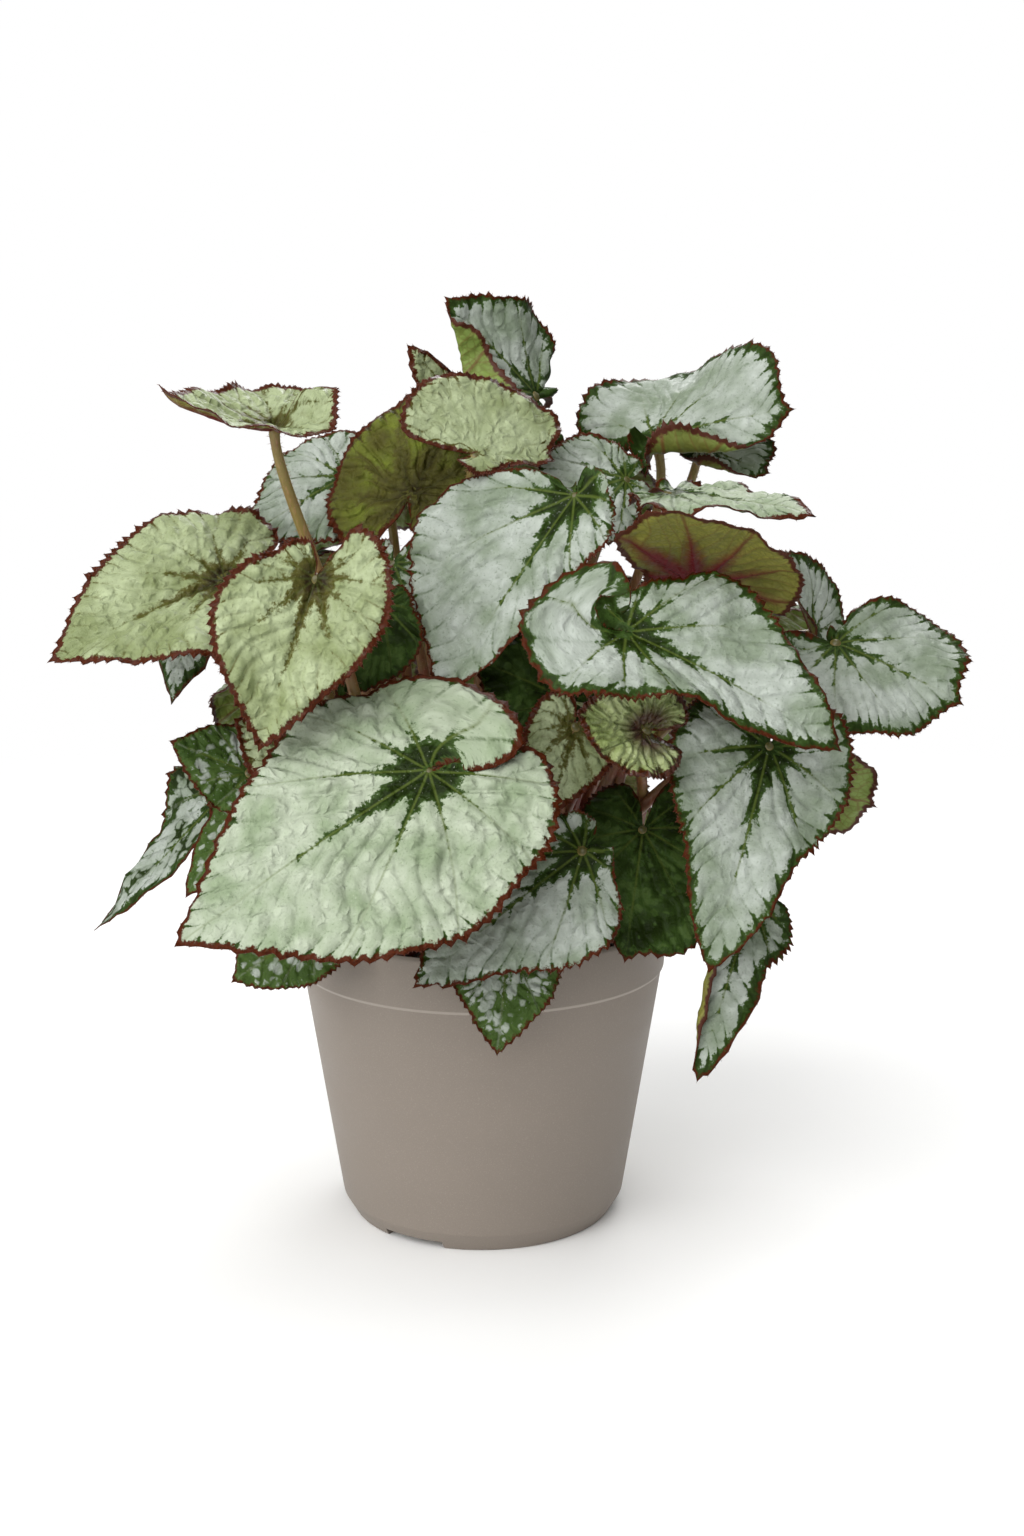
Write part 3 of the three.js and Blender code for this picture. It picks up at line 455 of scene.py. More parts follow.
def blade_upper(name, settings, skin, shade, star_colour, fringe, spotted=0.0, gloss=0.42,
                star_size=0.0, soft=1.0, band_depth=2.0, blush=0.0, quilt=1.0, cut=1.0,
                dotted=0.4, veined=0.06, shine=0.1, red_width=1.9):
    """Living leaf skin, upper face: fine cells that scatter light as silver between dark veins, a
    green band inside the margin and a red toothed edge. Slightly waxy. Its colour also holds a
    painted highlight on the pillows and painted shade along the vein grooves."""
    material, shader, add = new_material(name)
    rib, side, star, edge, away, flat = blade_fields(add)
    # Scales are per millimetre: patches of 17 mm, ragged edges of 2 mm, grain of 1 mm and
    # pillows of 5 mm between the finest veins.
    broad = add("TexNoise", flat, Scale=0.06, Detail=3)
    ragged = add("TexNoise", flat, Scale=0.5, Detail=4, Roughness=0.7)
    grain = add("TexNoise", flat, Scale=1.1, Detail=3)
    bent = add("TexNoise", flat, Scale=0.2).outputs["Color"]
    bent = add("VectorMath", bent, (5, 5, 0), flat, operation="MULTIPLY_ADD")
    cells = add("TexVoronoi", bent, Scale=0.2, feature="DISTANCE_TO_EDGE")
    patch = add("MapRange", broad, 0.36, 0.6)
    colour = add("MixRGB", patch, shade, skin)
    # Each pillow is paler on its crown than in the fine veins round it: a painted highlight on
    # the crown, and in the hollows partly the veins' own colour and partly painted shade.
    pale = add("MapRange", cells, 0, 0.3, 0.22, 0)
    colour = add("MixRGB", pale, colour, times(0.55, shade))
    speck = add("MapRange", grain, 0.42, 0.3, 0, 0.3)
    colour = add("MixRGB", speck, colour, fringe)
    # Side veins: in the silver, a faint painted shade along their grooves that grows with how
    # deep they cut, and toward the margin the leaf's own broken dark green lines.
    line = add("MapRange", side, 0.15, 0.65, 1, 0)
    broken = add("MapRange", ragged, 0.42, 0.56, 0.12, 1)
    line = add("Math", line, broken, operation="MULTIPLY")
    outer = add("MapRange", edge, 3, 12, 0.85, 0.14 * cut)
    line = add("Math", line, outer, operation="MULTIPLY")
    colour = add("MixRGB", line, colour, fringe)
    if spotted:
        # Green skin with round silver spots of about 3 mm, which run together in places.
        spots = add("TexVoronoi", bent, Scale=0.26)
        merged = add("Math", broad, -1.6, 0.8, operation="MULTIPLY_ADD")
        spots = add("Math", spots, merged, operation="ADD")
        spots = add("MapRange", spots, spotted - 0.1, spotted + 0.06)
        green = add("MixRGB", patch, star_colour, fringe)
        colour = add("MixRGB", spots, colour, green)
    # The star: its ragged edge is carried by noise of a few millimetres, and it reaches
    # out along the side veins.
    shake = add("Math", ragged, 9, star_size - 4.9, operation="MULTIPLY_ADD")
    star = add("Math", star, shake, operation="ADD")
    feather = add("MapRange", side, 0, 1.3, 2 * cut, 0)
    star = add("Math", star, feather, operation="ADD")
    halo = add("MapRange", star, -0.2 - 0.8 * soft, -0.2)
    colour = add("MixRGB", halo, colour, fringe)
    heart = add("MapRange", star, -0.1, 2.2 * soft)
    mottle = add("MapRange", ragged, 0.35, 0.65)
    star_skin = add("MixRGB", mottle, times(0.55, star_colour), times(1.5, star_colour))
    colour = add("MixRGB", heart, colour, star_skin)
    # Main veins: yellow-green in the star, and paler and fading beyond it.
    near = add("MapRange", star, -3, 0)
    far_vein = [0.45 * a + 0.55 * b for a, b in zip(skin, settings.vein)]
    vein = add("MixRGB", near, far_vein, settings.vein)
    rib_line = add("MapRange", rib, 0.15, 0.7, 0.9, 0)
    fading = add("MapRange", star, -5, 0, veined, 0.9 / soft ** 2)
    rib_line = add("Math", rib_line, fading, operation="MULTIPLY")
    colour = add("MixRGB", rib_line, colour, vein)
    dots = add("MapRange", grain, 0.66, 0.71, 0, dotted)
    colour = add("MixRGB", dots, colour, skin)
    if blush:
        # A maroon flush round the stalk.
        flush = add("MapRange", away, 0.5 * blush, blush, 0.9, 0)
        colour = add("MixRGB", flush, colour, settings.maroon)
    # The margin: a ragged green band that reaches in along the side veins, and a red edge
    # that thins out toward the stalk.
    tongue = add("MapRange", side, 0, 1.1, 2.6, 0)
    depth = add("Math", ragged, 8, band_depth - 4, operation="MULTIPLY_ADD")
    swell = add("Math", broad, 7, -3.5, operation="MULTIPLY_ADD")
    depth = add("Math", depth, swell, operation="ADD")
    depth = add("Math", depth, tongue, operation="ADD")
    band = add("Math", depth, edge, operation="SUBTRACT")
    inner = add("MapRange", band, -0.3, 0.5)
    colour = add("MixRGB", inner, colour, fringe)
    dusk = add("MapRange", band, 0.4, 2.6, 0, 0.75)
    colour = add("MixRGB", dusk, colour, star_colour)
    red = add("Math", ragged, 5, red_width - 2.5, operation="MULTIPLY_ADD")
    red = add("Math", red, edge, operation="SUBTRACT")
    thin = add("MapRange", away, 0.06, 0.3, 1.4, 0)
    red = add("Math", red, thin, operation="SUBTRACT")
    red = add("MapRange", red, -0.2, 0.4)
    edge_tint_and_highlight = add("MixRGB", grain, times(0.25, settings.rim), times(1.8, settings.rim))
    colour = add("MixRGB", red, colour, edge_tint_and_highlight)

    height = add("MapRange", cells, 0, 0.45, 0, 2.4 * quilt, interpolation_type="SMOOTHERSTEP")
    groove = add("MapRange", side, 0, 1.6, -1.6 * quilt * cut, 0, interpolation_type="SMOOTHSTEP")
    height = add("Math", height, groove, operation="ADD")
    height = add("Math", grain, 0.7, height, operation="MULTIPLY_ADD")
    bump = add("Bump", Height=height, Strength=0.8, Distance=0.0004)
    rough = add("MapRange", grain, 0.3, 0.7, gloss - 0.06, gloss + 0.1)
    fill(shader, Base_Color=colour, Normal=bump, Roughness=rough, IOR=LEAF_IOR,
         Specular_IOR_Level=shine)
    return material


def blade_under(name, settings, skin, crimson_size):
    """Living leaf skin, underside: matt, crimson round the stalk, olive beyond and pale
    green toward the margin, with dark veins in a raised net and the same red edge."""
    material, shader, add = new_material(name)
    rib, side, star, edge, away, flat = blade_fields(add)
    # Patches of 14 mm, ragged edges of 2 mm and a net of 2.5 mm.
    broad = add("TexNoise", flat, Scale=0.07, Detail=3)
    ragged = add("TexNoise", flat, Scale=0.5, Detail=4, Roughness=0.7)
    cells = add("TexVoronoi", flat, Scale=0.4, feature="DISTANCE_TO_EDGE")
    drift = add("Math", broad, 1, -0.5, operation="MULTIPLY_ADD")
    drift = add("Math", drift, away, operation="ADD")
    outer = add("MapRange", drift, 0.3, 0.75)
    colour = add("MixRGB", outer, settings.under_olive, skin)
    net = add("MapRange", cells, 0, 0.14, 0.5, 0)
    colour = add("MixRGB", net, colour, settings.under_olive)
    line = add("MapRange", side, 0.15, 0.6, 0.3, 0)
    colour = add("MixRGB", line, colour, settings.under_vein)
    rib_line = add("MapRange", rib, 0.3, 1, 0.6, 0)
    colour = add("MixRGB", rib_line, colour, settings.under_vein)
    shake = add("Math", ragged, 5, crimson_size - 1.9, operation="MULTIPLY_ADD")
    star = add("Math", star, shake, operation="ADD")
    heart = add("MapRange", star, -2.5, 3, 0, 0.92)
    colour = add("MixRGB", heart, colour, settings.crimson)
    red = add("Math", ragged, 3, 0.3, operation="MULTIPLY_ADD")
    red = add("Math", red, edge, operation="SUBTRACT")
    red = add("MapRange", red, -0.2, 0.5)
    colour = add("MixRGB", red, colour, settings.rim)
    bump = add("Bump", Height=cells, Strength=0.7, Distance=0.0006)
    fill(shader, Base_Color=colour, Normal=bump, Roughness=0.5, IOR=LEAF_IOR,
         Specular_IOR_Level=0.3)
    return material


def hair_material(name, colour):
    """Stiff plant hairs: dry and horny, darker and paler by turns of 2.5 mm."""
    material, shader, add = new_material(name)
    place = add("TexCoord").outputs["Object"]
    drift = add("TexNoise", place, Scale=400, Detail=1)
    tint = add("MixRGB", drift, times(0.45, colour), colour)
    fill(shader, Base_Color=tint, Roughness=0.5)
    return material


def stalk_material(name, settings):
    """Fleshy leaf stalk: waxy skin, red at the foot and olive under the blade, with
    short pale streaks along it."""
    material, shader, add = new_material(name)
    up = add("Attribute", attribute_name="up").outputs["Fac"]
    place = add("TexCoord").outputs["Object"]
    # Streaks of 8 by 1 mm and blotches of 8 mm.
    streak = add("Mapping", place, Scale=(900, 900, 120))
    streaks = add("TexNoise", streak, Scale=1, Detail=2)
    blotch = add("TexNoise", place, Scale=130, Detail=3)
    mixed = add("Math", blotch, 0.9, -0.45, operation="MULTIPLY_ADD")
    mixed = add("Math", up, mixed, operation="ADD")
    ramp = add("MapRange", mixed, 0.25, 0.8)
    colour = add("MixRGB", ramp, settings.red, settings.olive)
    pale = add("MapRange", streaks, 0.55, 0.7, 0, 0.35)
    colour = add("MixRGB", pale, colour, settings.hairs)
    # The knot on the blade is dark olive.
    knot = add("MapRange", up, 0.93, 0.97)
    colour = add("MixRGB", knot, colour, linear("#4e4a22"))
    bump = add("Bump", Height=streaks, Strength=0.4, Distance=0.0003)
    fill(shader, Base_Color=colour, Normal=bump, Roughness=0.42)
    return material


def peat_material(name, settings):
    """Moist crumbled peat: dark fibres and crumbs, matt with damp glints."""
    material, shader, add = new_material(name)
    place = add("TexCoord").outputs["Object"]
    # Crumbs of about 2 mm and fibres of about 1 mm.
    crumbs = add("TexNoise", place, Scale=450, Detail=6, Roughness=0.7)
    fibres = add("TexVoronoi", place, Scale=900)
    colour = add("MixRGB", crumbs, times(0.3, settings.peat), times(2.2, settings.peat))
    chip = add("MapRange", fibres, 0.16, 0.1, 0, 0.6)
    colour = add("MixRGB", chip, colour, linear("#7a5a3c"))
    bump = add("Bump", Height=crumbs, Strength=0.9, Distance=0.0012)
    rough = add("MapRange", crumbs, 0.3, 0.7, 0.7, 0.95)
    fill(shader, Base_Color=colour, Normal=bump, Roughness=rough)
    return material


def pot_material(name, settings):
    """Moulded polypropylene, matt: an even taupe with faint flow marks round the wall and the
    fine bloom of a satin mould, and a painted highlight along the rim band's lower edge."""
    material, shader, add = new_material(name)
    place = add("TexCoord").outputs["Object"]
    # Flow marks 17 mm apart.
    flow = add("Mapping", place, Scale=(14, 14, 60))
    flow = add("TexNoise", flow, Scale=1, Detail=3)
    # Mould grain of 0.4 mm, drawn about twice as coarse as real so that it shows.
    grain = add("TexNoise", place, Scale=2500, Detail=2)
    colour = add("MixRGB", flow, times(0.93, settings.plastic), times(1.06, settings.plastic))
    dust = add("MapRange", grain, 0.55, 0.75, 0, 0.12)
    colour = add("MixRGB", dust, colour, linear("#c9c2b8"))
    # A painted highlight: a paler line about 1 mm wide along the lower edge of the rim band.
    height = add("SeparateXYZ", place).outputs["Z"]
    edge_tint_and_highlight = add("Math", height, RIM_EDGE * MM, 0.0006, operation="COMPARE")
    edge_tint_and_highlight = add("Math", edge_tint_and_highlight, 0.24, operation="MULTIPLY")
    colour = add("MixRGB", edge_tint_and_highlight, colour, linear("#c9c2b8"))
    bump = add("Bump", Height=grain, Strength=0.35, Distance=0.0002)
    rough = add("MapRange", flow, 0.3, 0.7, 0.5, 0.62)
    fill(shader, Base_Color=colour, Normal=bump, Roughness=rough, IOR=1.49)
    return material


def floor_material(name, settings):
    """Matt painted board that fades out with distance from the plant."""
    material, shader, add = new_material(name)
    place = add("TexCoord").outputs["Object"]
    away = add("VectorMath", place, operation="LENGTH").outputs["Value"]
    fade = add("MapRange", away, 0.3, 1.1, 1, 0)
    fill(shader, Base_Color=settings.floor, Roughness=0.9, Alpha=fade)
    return material


# ---------------------------------------------------------------- meshes
def unit(v):
    return v / np.linalg.norm(v, axis=-1, keepdims=True)


def build(name, node, points, faces, materials, skins=None, fields=None):
    """Makes a mesh object from points in millimetres and arrays of faces, rides it on the
    root body and lets it stand for its node. skins says which material each array of
    faces has, and fields are values for each point, or three for each face's corner."""
    sizes = np.concatenate([np.full(len(f), f.shape[1]) for f in faces])
    corners = np.concatenate([f.ravel() for f in faces])
    mesh = bpy.data.meshes.new(name)
    mesh.vertices.add(len(points))
    mesh.vertices.foreach_set("co", (np.asarray(points) * MM).astype(np.float32).ravel())
    mesh.loops.add(len(corners))
    mesh.loops.foreach_set("vertex_index", corners.astype(np.int32))
    mesh.polygons.add(len(sizes))
    starts = np.concatenate([[0], np.cumsum(sizes)[:-1]])
    mesh.polygons.foreach_set("loop_start", starts.astype(np.int32))
    mesh.update(calc_edges=True)
    for field, values in (fields or {}).items():
        kind, domain, key = (("FLOAT_VECTOR", "CORNER", "vector") if values.ndim == 2
                             else ("FLOAT", "POINT", "value"))
        attribute = mesh.attributes.new(field, kind, domain)
        attribute.data.foreach_set(key, values.astype(np.float32).ravel())
    for material in materials:
        mesh.materials.append(material)
    if skins:
        skins = np.repeat(skins, [len(f) for f in faces])
        mesh.polygons.foreach_set("material_index", skins.astype(np.int32))
    mesh.polygons.foreach_set("use_smooth", np.ones(len(sizes), dtype=bool))
    piece = bpy.data.objects.new(name, mesh)
    bpy.context.scene.collection.objects.link(piece)
    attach(piece, "root")
    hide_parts(node)
    return piece


def spikes(roots, ways, lengths, radius):
    """Three-sided closed spikes, as points and faces: one for each root and direction."""
    ways = unit(ways)
    helper = np.where(np.abs(ways[:, 2:]) < 0.9, [[0, 0, 1.0]], [[1.0, 0, 0]])
    across = unit(np.cross(ways, helper))
    third = np.cross(ways, across)
    ring = [roots + radius * (math.cos(a) * across + math.sin(a) * third)
            for a in (0, 2 * math.pi / 3, 4 * math.pi / 3)]
    tips = roots + ways * np.reshape(lengths, (-1, 1))
    points = np.stack([*ring, tips], axis=1).reshape(-1, 3)
    base = 4 * np.arange(len(roots))[:, None]
    faces = [base + corner for corner in ((0, 1, 3), (1, 2, 3), (2, 0, 3), (2, 1, 0))]
    return points, np.concatenate(faces)


def through(table, x):
    """A smooth curve through a table's points."""
    xs, ys = table[:, 0], table[:, 1]
    slopes = np.gradient(ys, xs)
    i = np.clip(np.searchsorted(xs, x, side="right") - 1, 0, len(xs) - 2)
    width = xs[i + 1] - xs[i]
    t = (x - xs[i]) / width
    return ((1 + 2 * t) * (1 - t) ** 2 * ys[i] + t * (1 - t) ** 2 * width * slopes[i]
            + t * t * (3 - 2 * t) * ys[i + 1] + t * t * (t - 1) * width * slopes[i + 1])


def smoothstep(x, low, high):
    """From 0 at low to 1 at high, level at both."""
    t = np.clip((x - low) / (high - low), 0, 1)
    return t * t * (3 - 2 * t)


def ripple(rng, u, v, wavelength, count=6):
    """Smooth irregular waves between about -1 and 1 over flat coordinates."""
    total = np.zeros_like(u)
    for _ in range(count):
        turn, phase = rng.uniform(0, 2 * math.pi, 2)
        step = 2 * math.pi / (wavelength * rng.uniform(0.7, 1.5))
        total += np.sin(step * (u * math.cos(turn) + v * math.sin(turn)) + phase)
    return total / math.sqrt(count)


def cell_walls(rng, u, v):
    """Distance from the walls of irregular cells in files, one to each whole step of u
    and v: half the gap between the nearest and the second nearest of scattered points."""
    shifts = rng.uniform(-0.38, 0.38, (2, 61, 61))
    column, row = np.floor(u).astype(int), np.floor(v).astype(int)
    gaps = []
    for i in (-1, 0, 1):
        for j in (-1, 0, 1):
            du, dv = shifts[:, (column + i) % 61, (row + j) % 61]
            gaps.append(np.hypot(column + i + 0.5 + 0.4 * du - u, row + j + 0.5 + dv - v))
    gaps = np.sort(gaps, axis=0)
    return (gaps[1] - gaps[0]) / 2


def ring_faces(count, sides):
    """Faces of a closed surface of rings: quads from ring to ring, and a fan at each end
    to its own middle point, both of which come after the rings' points."""
    index = np.arange(count * sides).reshape(count, sides)
    after = np.roll(index, -1, axis=1)
    quads = np.stack([index[:-1], after[:-1], after[1:], index[1:]], -1).reshape(-1, 4)
    low = np.full(sides, index.size)
    bottom = np.stack([low, after[0], index[0]], -1)
    top = np.stack([low + 1, index[-1], after[-1]], -1)
    return quads, np.concatenate([bottom, top])


# ---------------------------------------------------------------- blades
def blade_frame(row):
    """Start, directions and length of a blade: along the chord from stalk to tip, to its
    left, and up out of the upper face."""
    start = np.array(row.at, float)
    chord = np.array(row.tip, float) - start
    along = unit(chord)
    face = np.array(row.face, float)
    up = unit(face - along * face.dot(along))
    half_bend = row.bend / 2
    length = np.linalg.norm(chord) * half_bend / math.sin(half_bend)
    return start, along, np.cross(up, along), up, length


def margin_reach(row, angle):
    """From the stalk to the margin, over the blade's length."""
    off = np.abs(angle)
    left = angle >= 0
    wide = np.where(left, *row.wide)
    heel = 1 + (np.where(left, *row.heel) - 1) * smoothstep(off, 50, 115)
    broad = 1 + (wide - 1) * smoothstep(off, 0, 30)
    rounded = 1 - 0.5 * np.clip((off - HEEL_CURVE) / (COVER - HEEL_CURVE), 0, 1) ** 3
    return through(OUTLINE, off) * broad * heel * rounded


def creased(crease, length, u, v):
    """Points of the flat blade, along the midrib and to its left, after a fold along a
    crease, and how far the fold lifts them."""
    if crease is None:
        return u, v, 0 * u
    first, second, turn = crease
    du, dv = second[0] - first[0], second[1] - first[1]
    size = math.hypot(du, dv)
    beyond = ((v - first[1] * length) * du - (u - first[0] * length) * dv) / size
    beyond = np.maximum(beyond, 0)
    angle = np.minimum(beyond / CREASE_RADIUS, math.radians(turn))
    straight = beyond - angle * CREASE_RADIUS
    moved = CREASE_RADIUS * np.sin(angle) + straight * np.cos(angle) - beyond
    lifted = CREASE_RADIUS * (1 - np.cos(angle)) + straight * np.sin(angle)
    return u - moved * dv / size, v + moved * du / size, lifted


def blade_points(row, angle, out):
    """Points of a blade's middle surface, at an angle off the midrib in degrees and a
    distance from the stalk over the flat blade, in mm."""
    start, along, left_way, up, length = blade_frame(row)
    off = np.abs(angle)
    left = angle >= 0
    share = out / (margin_reach(row, angle) * length)
    wind = (np.where(left, *row.swirl) * smoothstep(off, 100, COVER)
            * smoothstep(share, 0.1, 0.7))
    lobe = smoothstep(off, 95, COVER) * smoothstep(out / length, 0, 0.25)
    raised = np.where(left, *row.lift) * lobe
    aside = np.where(left, 1, -1) * out * np.sin(np.radians(off + wind))
    u, beside, lifted = creased(row.crease, length, out * np.cos(np.radians(off + wind)), aside)
    left = np.where(beside == 0, left, beside > 0)
    v = np.abs(beside)

    # Along the bent midrib.
    bend = row.bend
    turn = bend / length
    slope = bend / 2 - turn * u
    forward = (math.sin(bend / 2) - np.sin(slope)) / turn
    rise = (np.cos(slope) - math.cos(bend / 2)) / turn

    # Across it, with the side folded up and its edge rolled down.
    fold = np.radians(np.where(left, *row.fold))
    roll = np.radians(np.where(left, *row.roll))
    half = HALF_WIDTH * np.where(left, *row.wide) * length
    across, height = np.zeros_like(u), np.zeros_like(u)
    steps = 6
    for i in range(steps):
        # How far out the middle of each short stretch is, over the half width.
        t = v * (i + 0.5) / steps / half
        tilt = fold - roll * t * np.abs(t)
        across += np.cos(tilt) * v / steps
        height += np.sin(tilt) * v / steps
    wave_height, waves, phase = row.wave
    height += wave_height * share ** 2 * np.sin(np.radians(waves * angle + phase))
    height += raised + lifted
    across = np.where(left, across, -across)

    # The tip may be turned about the midrib.
    twist = row.twist * np.maximum(0, u / length)
    sideways = across * np.cos(twist) - height * np.sin(twist)
    upwards = across * np.sin(twist) + height * np.cos(twist)
    return (start + (forward - np.sin(slope) * upwards)[..., None] * along
            + (rise + np.cos(slope) * upwards)[..., None] * up
            + sideways[..., None] * left_way)


def distance_to_line(points, line):
    """From each flat point to the nearest stretch of an open line."""
    best = np.full(len(points), np.inf)
    for start, end in zip(line, line[1:]):
        d = end - start
        t = np.clip(((points - start) @ d) / max(d @ d, 1e-9), 0, 1)
        gap = points - start - t[:, None] * d
        best = np.minimum(best, np.einsum("ij,ij->i", gap, gap))
    return np.sqrt(best)


def build_blade(row, number, settings, materials):
    """A blade as a closed sheet, puckered between its veins and toothed on the margin,
    with bristles."""
    rng = np.random.default_rng(number + 1)
    start, _, _, up, length = blade_frame(row)
    columns, rings = LATTICE[row.size]
    steps = np.linspace(-COVER, COVER, columns + 1)
    shares = 1 - (1 - np.arange(1, rings + 1) / rings) ** 1.15
    column, share = np.meshgrid(steps, shares)

    # The veins bow toward the tip.
    bow = VEIN_BOW * np.sign(column) * np.sin(np.pi * np.abs(column) / COVER)
    angle = column - bow * share ** 2
    reach = margin_reach(row, angle) * length
    reach *= 1 + 0.02 * ripple(rng, angle, 0 * angle, 55) * smoothstep(np.abs(angle), 0, 25)
    place = np.arange(columns + 1)
    tooth = rng.uniform(0.25, 1, columns // 4 + 1)[place // 4] * TOOTH[place % 4]
    tooth[columns // 2] = 1
    out = share * reach
    grown = smoothstep(reach[-1] / length, 0.05, 0.35)
    out[-1] += settings.tooth / MM * min(1, length / GROWN_LENGTH) * tooth * grown
    middle = blade_points(row, angle, out)

    # Fields over the flat blade, in mm.
    flat_u = out * np.cos(np.radians(angle))
    flat_v = out * np.sin(np.radians(angle))
    nearest = np.clip(np.round(column / RIB_STEP), -4, 4) * RIB_STEP
    rib = out * np.sin(np.radians(np.abs(column - nearest)))
    # Gap between the side veins, which wander by a third of it.
    pitch = (3 + 0.045 * length) * (0.8 if row.style == "young" else 1)
    drift = 0.35 * ripple(rng, flat_u, flat_v, 0.4 * length)

    def side_veins(lean):
        """Counts the side veins, which leave each main vein on its outer side and run
        along the next one, and the steps along them. Lean says which side of a main
        vein its own points are on."""
        off = np.abs(column)
        inner = np.clip(np.floor((off + lean * np.sign(column)) / RIB_STEP), 0, 4) * RIB_STEP
        outer = np.radians(inner + RIB_STEP - off)
        return out * np.sin(outer) / pitch + drift, out * np.cos(outer) / pitch

    (ahead, onward), (behind, _) = side_veins(0.01), side_veins(-0.01)
    side = np.abs(ahead - np.round(ahead)) * pitch
    # The star narrows along each main vein, and is round in its middle.
    extent = np.interp(np.abs(nearest), *STAR_REACH.T) * length
    spread = 0.09 * length
    beyond = 1 - out / extent
    star = spread * np.clip(beyond, 0, 1) ** 2 + 0.2 * extent * np.minimum(beyond, 0) - rib
    star = np.maximum(star, STAR_CORE * length - out)
    outline = np.stack([flat_u[-1], flat_v[-1]], axis=-1)
    outline = np.concatenate([[[0, 0]], outline, [[0, 0]]])
    flat = np.stack([flat_u.ravel(), flat_v.ravel()], axis=-1)
    edge = distance_to_line(flat, outline).reshape(out.shape)

    # Relief: puckers between the veins, flat at the stalk and the margin.
    height, cut = QUILT[row.style]
    rise = settings.pucker * length * height
    relief = ((1 - cut * np.exp(-(side / (0.2 * pitch)) ** 2))
              * (1 - np.exp(-(rib / (0.3 * pitch)) ** 2)))
    pillow = 1 - np.exp(-(cell_walls(rng, ahead, onward / PILLOW) / 0.22) ** 2)
    relief *= rise * (0.2 + 0.8 * pillow) * (1 + 0.3 * ripple(rng, flat_u, flat_v, 3 * pitch, 9))
    relief *= smoothstep(out, 0.03 * length, 0.2 * length) * smoothstep(edge, 0, 4)
    # Broad waves that grow toward the margin, and a crinkle in its last 7 mm.
    relief += 0.014 * length * share ** 2 * ripple(rng, flat_u, flat_v, 0.35 * length)
    relief += 0.7 * smoothstep(edge, 7, 0) * ripple(rng, flat_u, flat_v, 10)
    # The sheet thins to half at the margin, and its veins are ridges underneath.
    half = settings.thickness / MM / 2 * (0.5 + 0.5 * smoothstep(edge, 0, 3))
    ridge = RIB_HEIGHT * np.exp(-(rib / 0.8) ** 2) * (1 - share)
    ridge += 0.15 * np.exp(-(side / 0.5) ** 2)

    normals = unit(np.cross(np.gradient(middle, axis=0), np.gradient(middle, axis=1)))
    upper = middle + normals * (relief + half)[..., None]
    lower = middle + normals * (relief - half - ridge * smoothstep(edge, 0, 3))[..., None]
    half_centre = settings.thickness / MM / 2
    points = np.concatenate([[start + up * half_centre], upper.reshape(-1, 3),
                             [start - up * (half_centre + RIB_HEIGHT)],
                             lower.reshape(-1, 3)])

    # Faces of the upper side, the same of the lower side turned over, and the wall.
    index = 1 + np.arange(rings * (columns + 1)).reshape(rings, columns + 1)
    below = index.size + 1
    quads = np.stack([index[:-1, :-1], index[1:, :-1], index[1:, 1:], index[:-1, 1:]],
                     axis=-1).reshape(-1, 4)
    fan = np.stack([np.zeros(columns, int), index[0, :-1], index[0, 1:]], axis=-1)
    border = np.concatenate([[0], index[:, 0], index[-1, 1:], index[-2::-1, -1], [0]])
    wall = np.stack([border[1:], border[:-1], border[:-1] + below, border[1:] + below], axis=-1)
    faces = [quads, fan, quads[:, ::-1] + below, fan[:, ::-1] + below, wall]

    # Bristles on the margin, rooted just inside it.
    rim = middle[-1] + normals[-1] * relief[-1, :, None]
    outward = unit(middle[-1] - middle[-3])
    picked = np.repeat(np.arange(1, columns), 2 if row.size == "large" else 1)
    ways = outward[picked] + rng.normal(0, 0.35, (len(picked), 3))
    lengths = settings.bristle / MM * rng.uniform(0.45, 1.1, len(picked)) * grown[picked] + 0.2
    hair_points, hair_faces = spikes(rim[picked] - 0.4 * outward[picked], ways, lengths,
                                     BRISTLE_RADIUS)
    faces.append(hair_faces + len(points))

    def corners(before, after, centre):
        """A field at the corners of all faces, from its values on the lattice as seen
        from the faces before and after each step."""
        def of_face(face):
            values = np.concatenate([[centre], after.reshape(-1, 3)])[face % below]
            other = np.concatenate([[centre], before.reshape(-1, 3)])[face % below]
            # A face ends with the corners on the far side of its step.
            late = np.zeros(face.shape, bool)
            late[:, -2 if face.shape[1] == 4 else -1:] = True
            return np.where(late[..., None], other, values)

        upper_faces = [of_face(quads), of_face(fan)]
        lower_faces = [part[:, ::-1] for part in upper_faces]
        parts = [*upper_faces, *lower_faces, of_face(wall), np.zeros((hair_faces.size, 3))]
        return np.concatenate([part.reshape(-1, 3) for part in parts])

    def packed(*values):
        return np.stack([v if np.ndim(v) else np.full_like(out, v) for v in values], -1)

    margin = packed(edge, pitch, out / length)
    away = PATTERN_GAP * number
    flat = packed(flat_u, flat_v, away)
    fields = {
        "veins": corners(packed(rib, behind, star), packed(rib, ahead, star), [0, 0, spread]),
        "margin": corners(margin, margin, [9, pitch, 0]),
        "flat": corners(flat, flat, [0, 0, away]),
    }
    build(row.name.replace("leaf_", "blade_"), row.name,
          np.concatenate([points, hair_points]), faces, materials, (0, 0, 1, 1, 0, 2), fields)


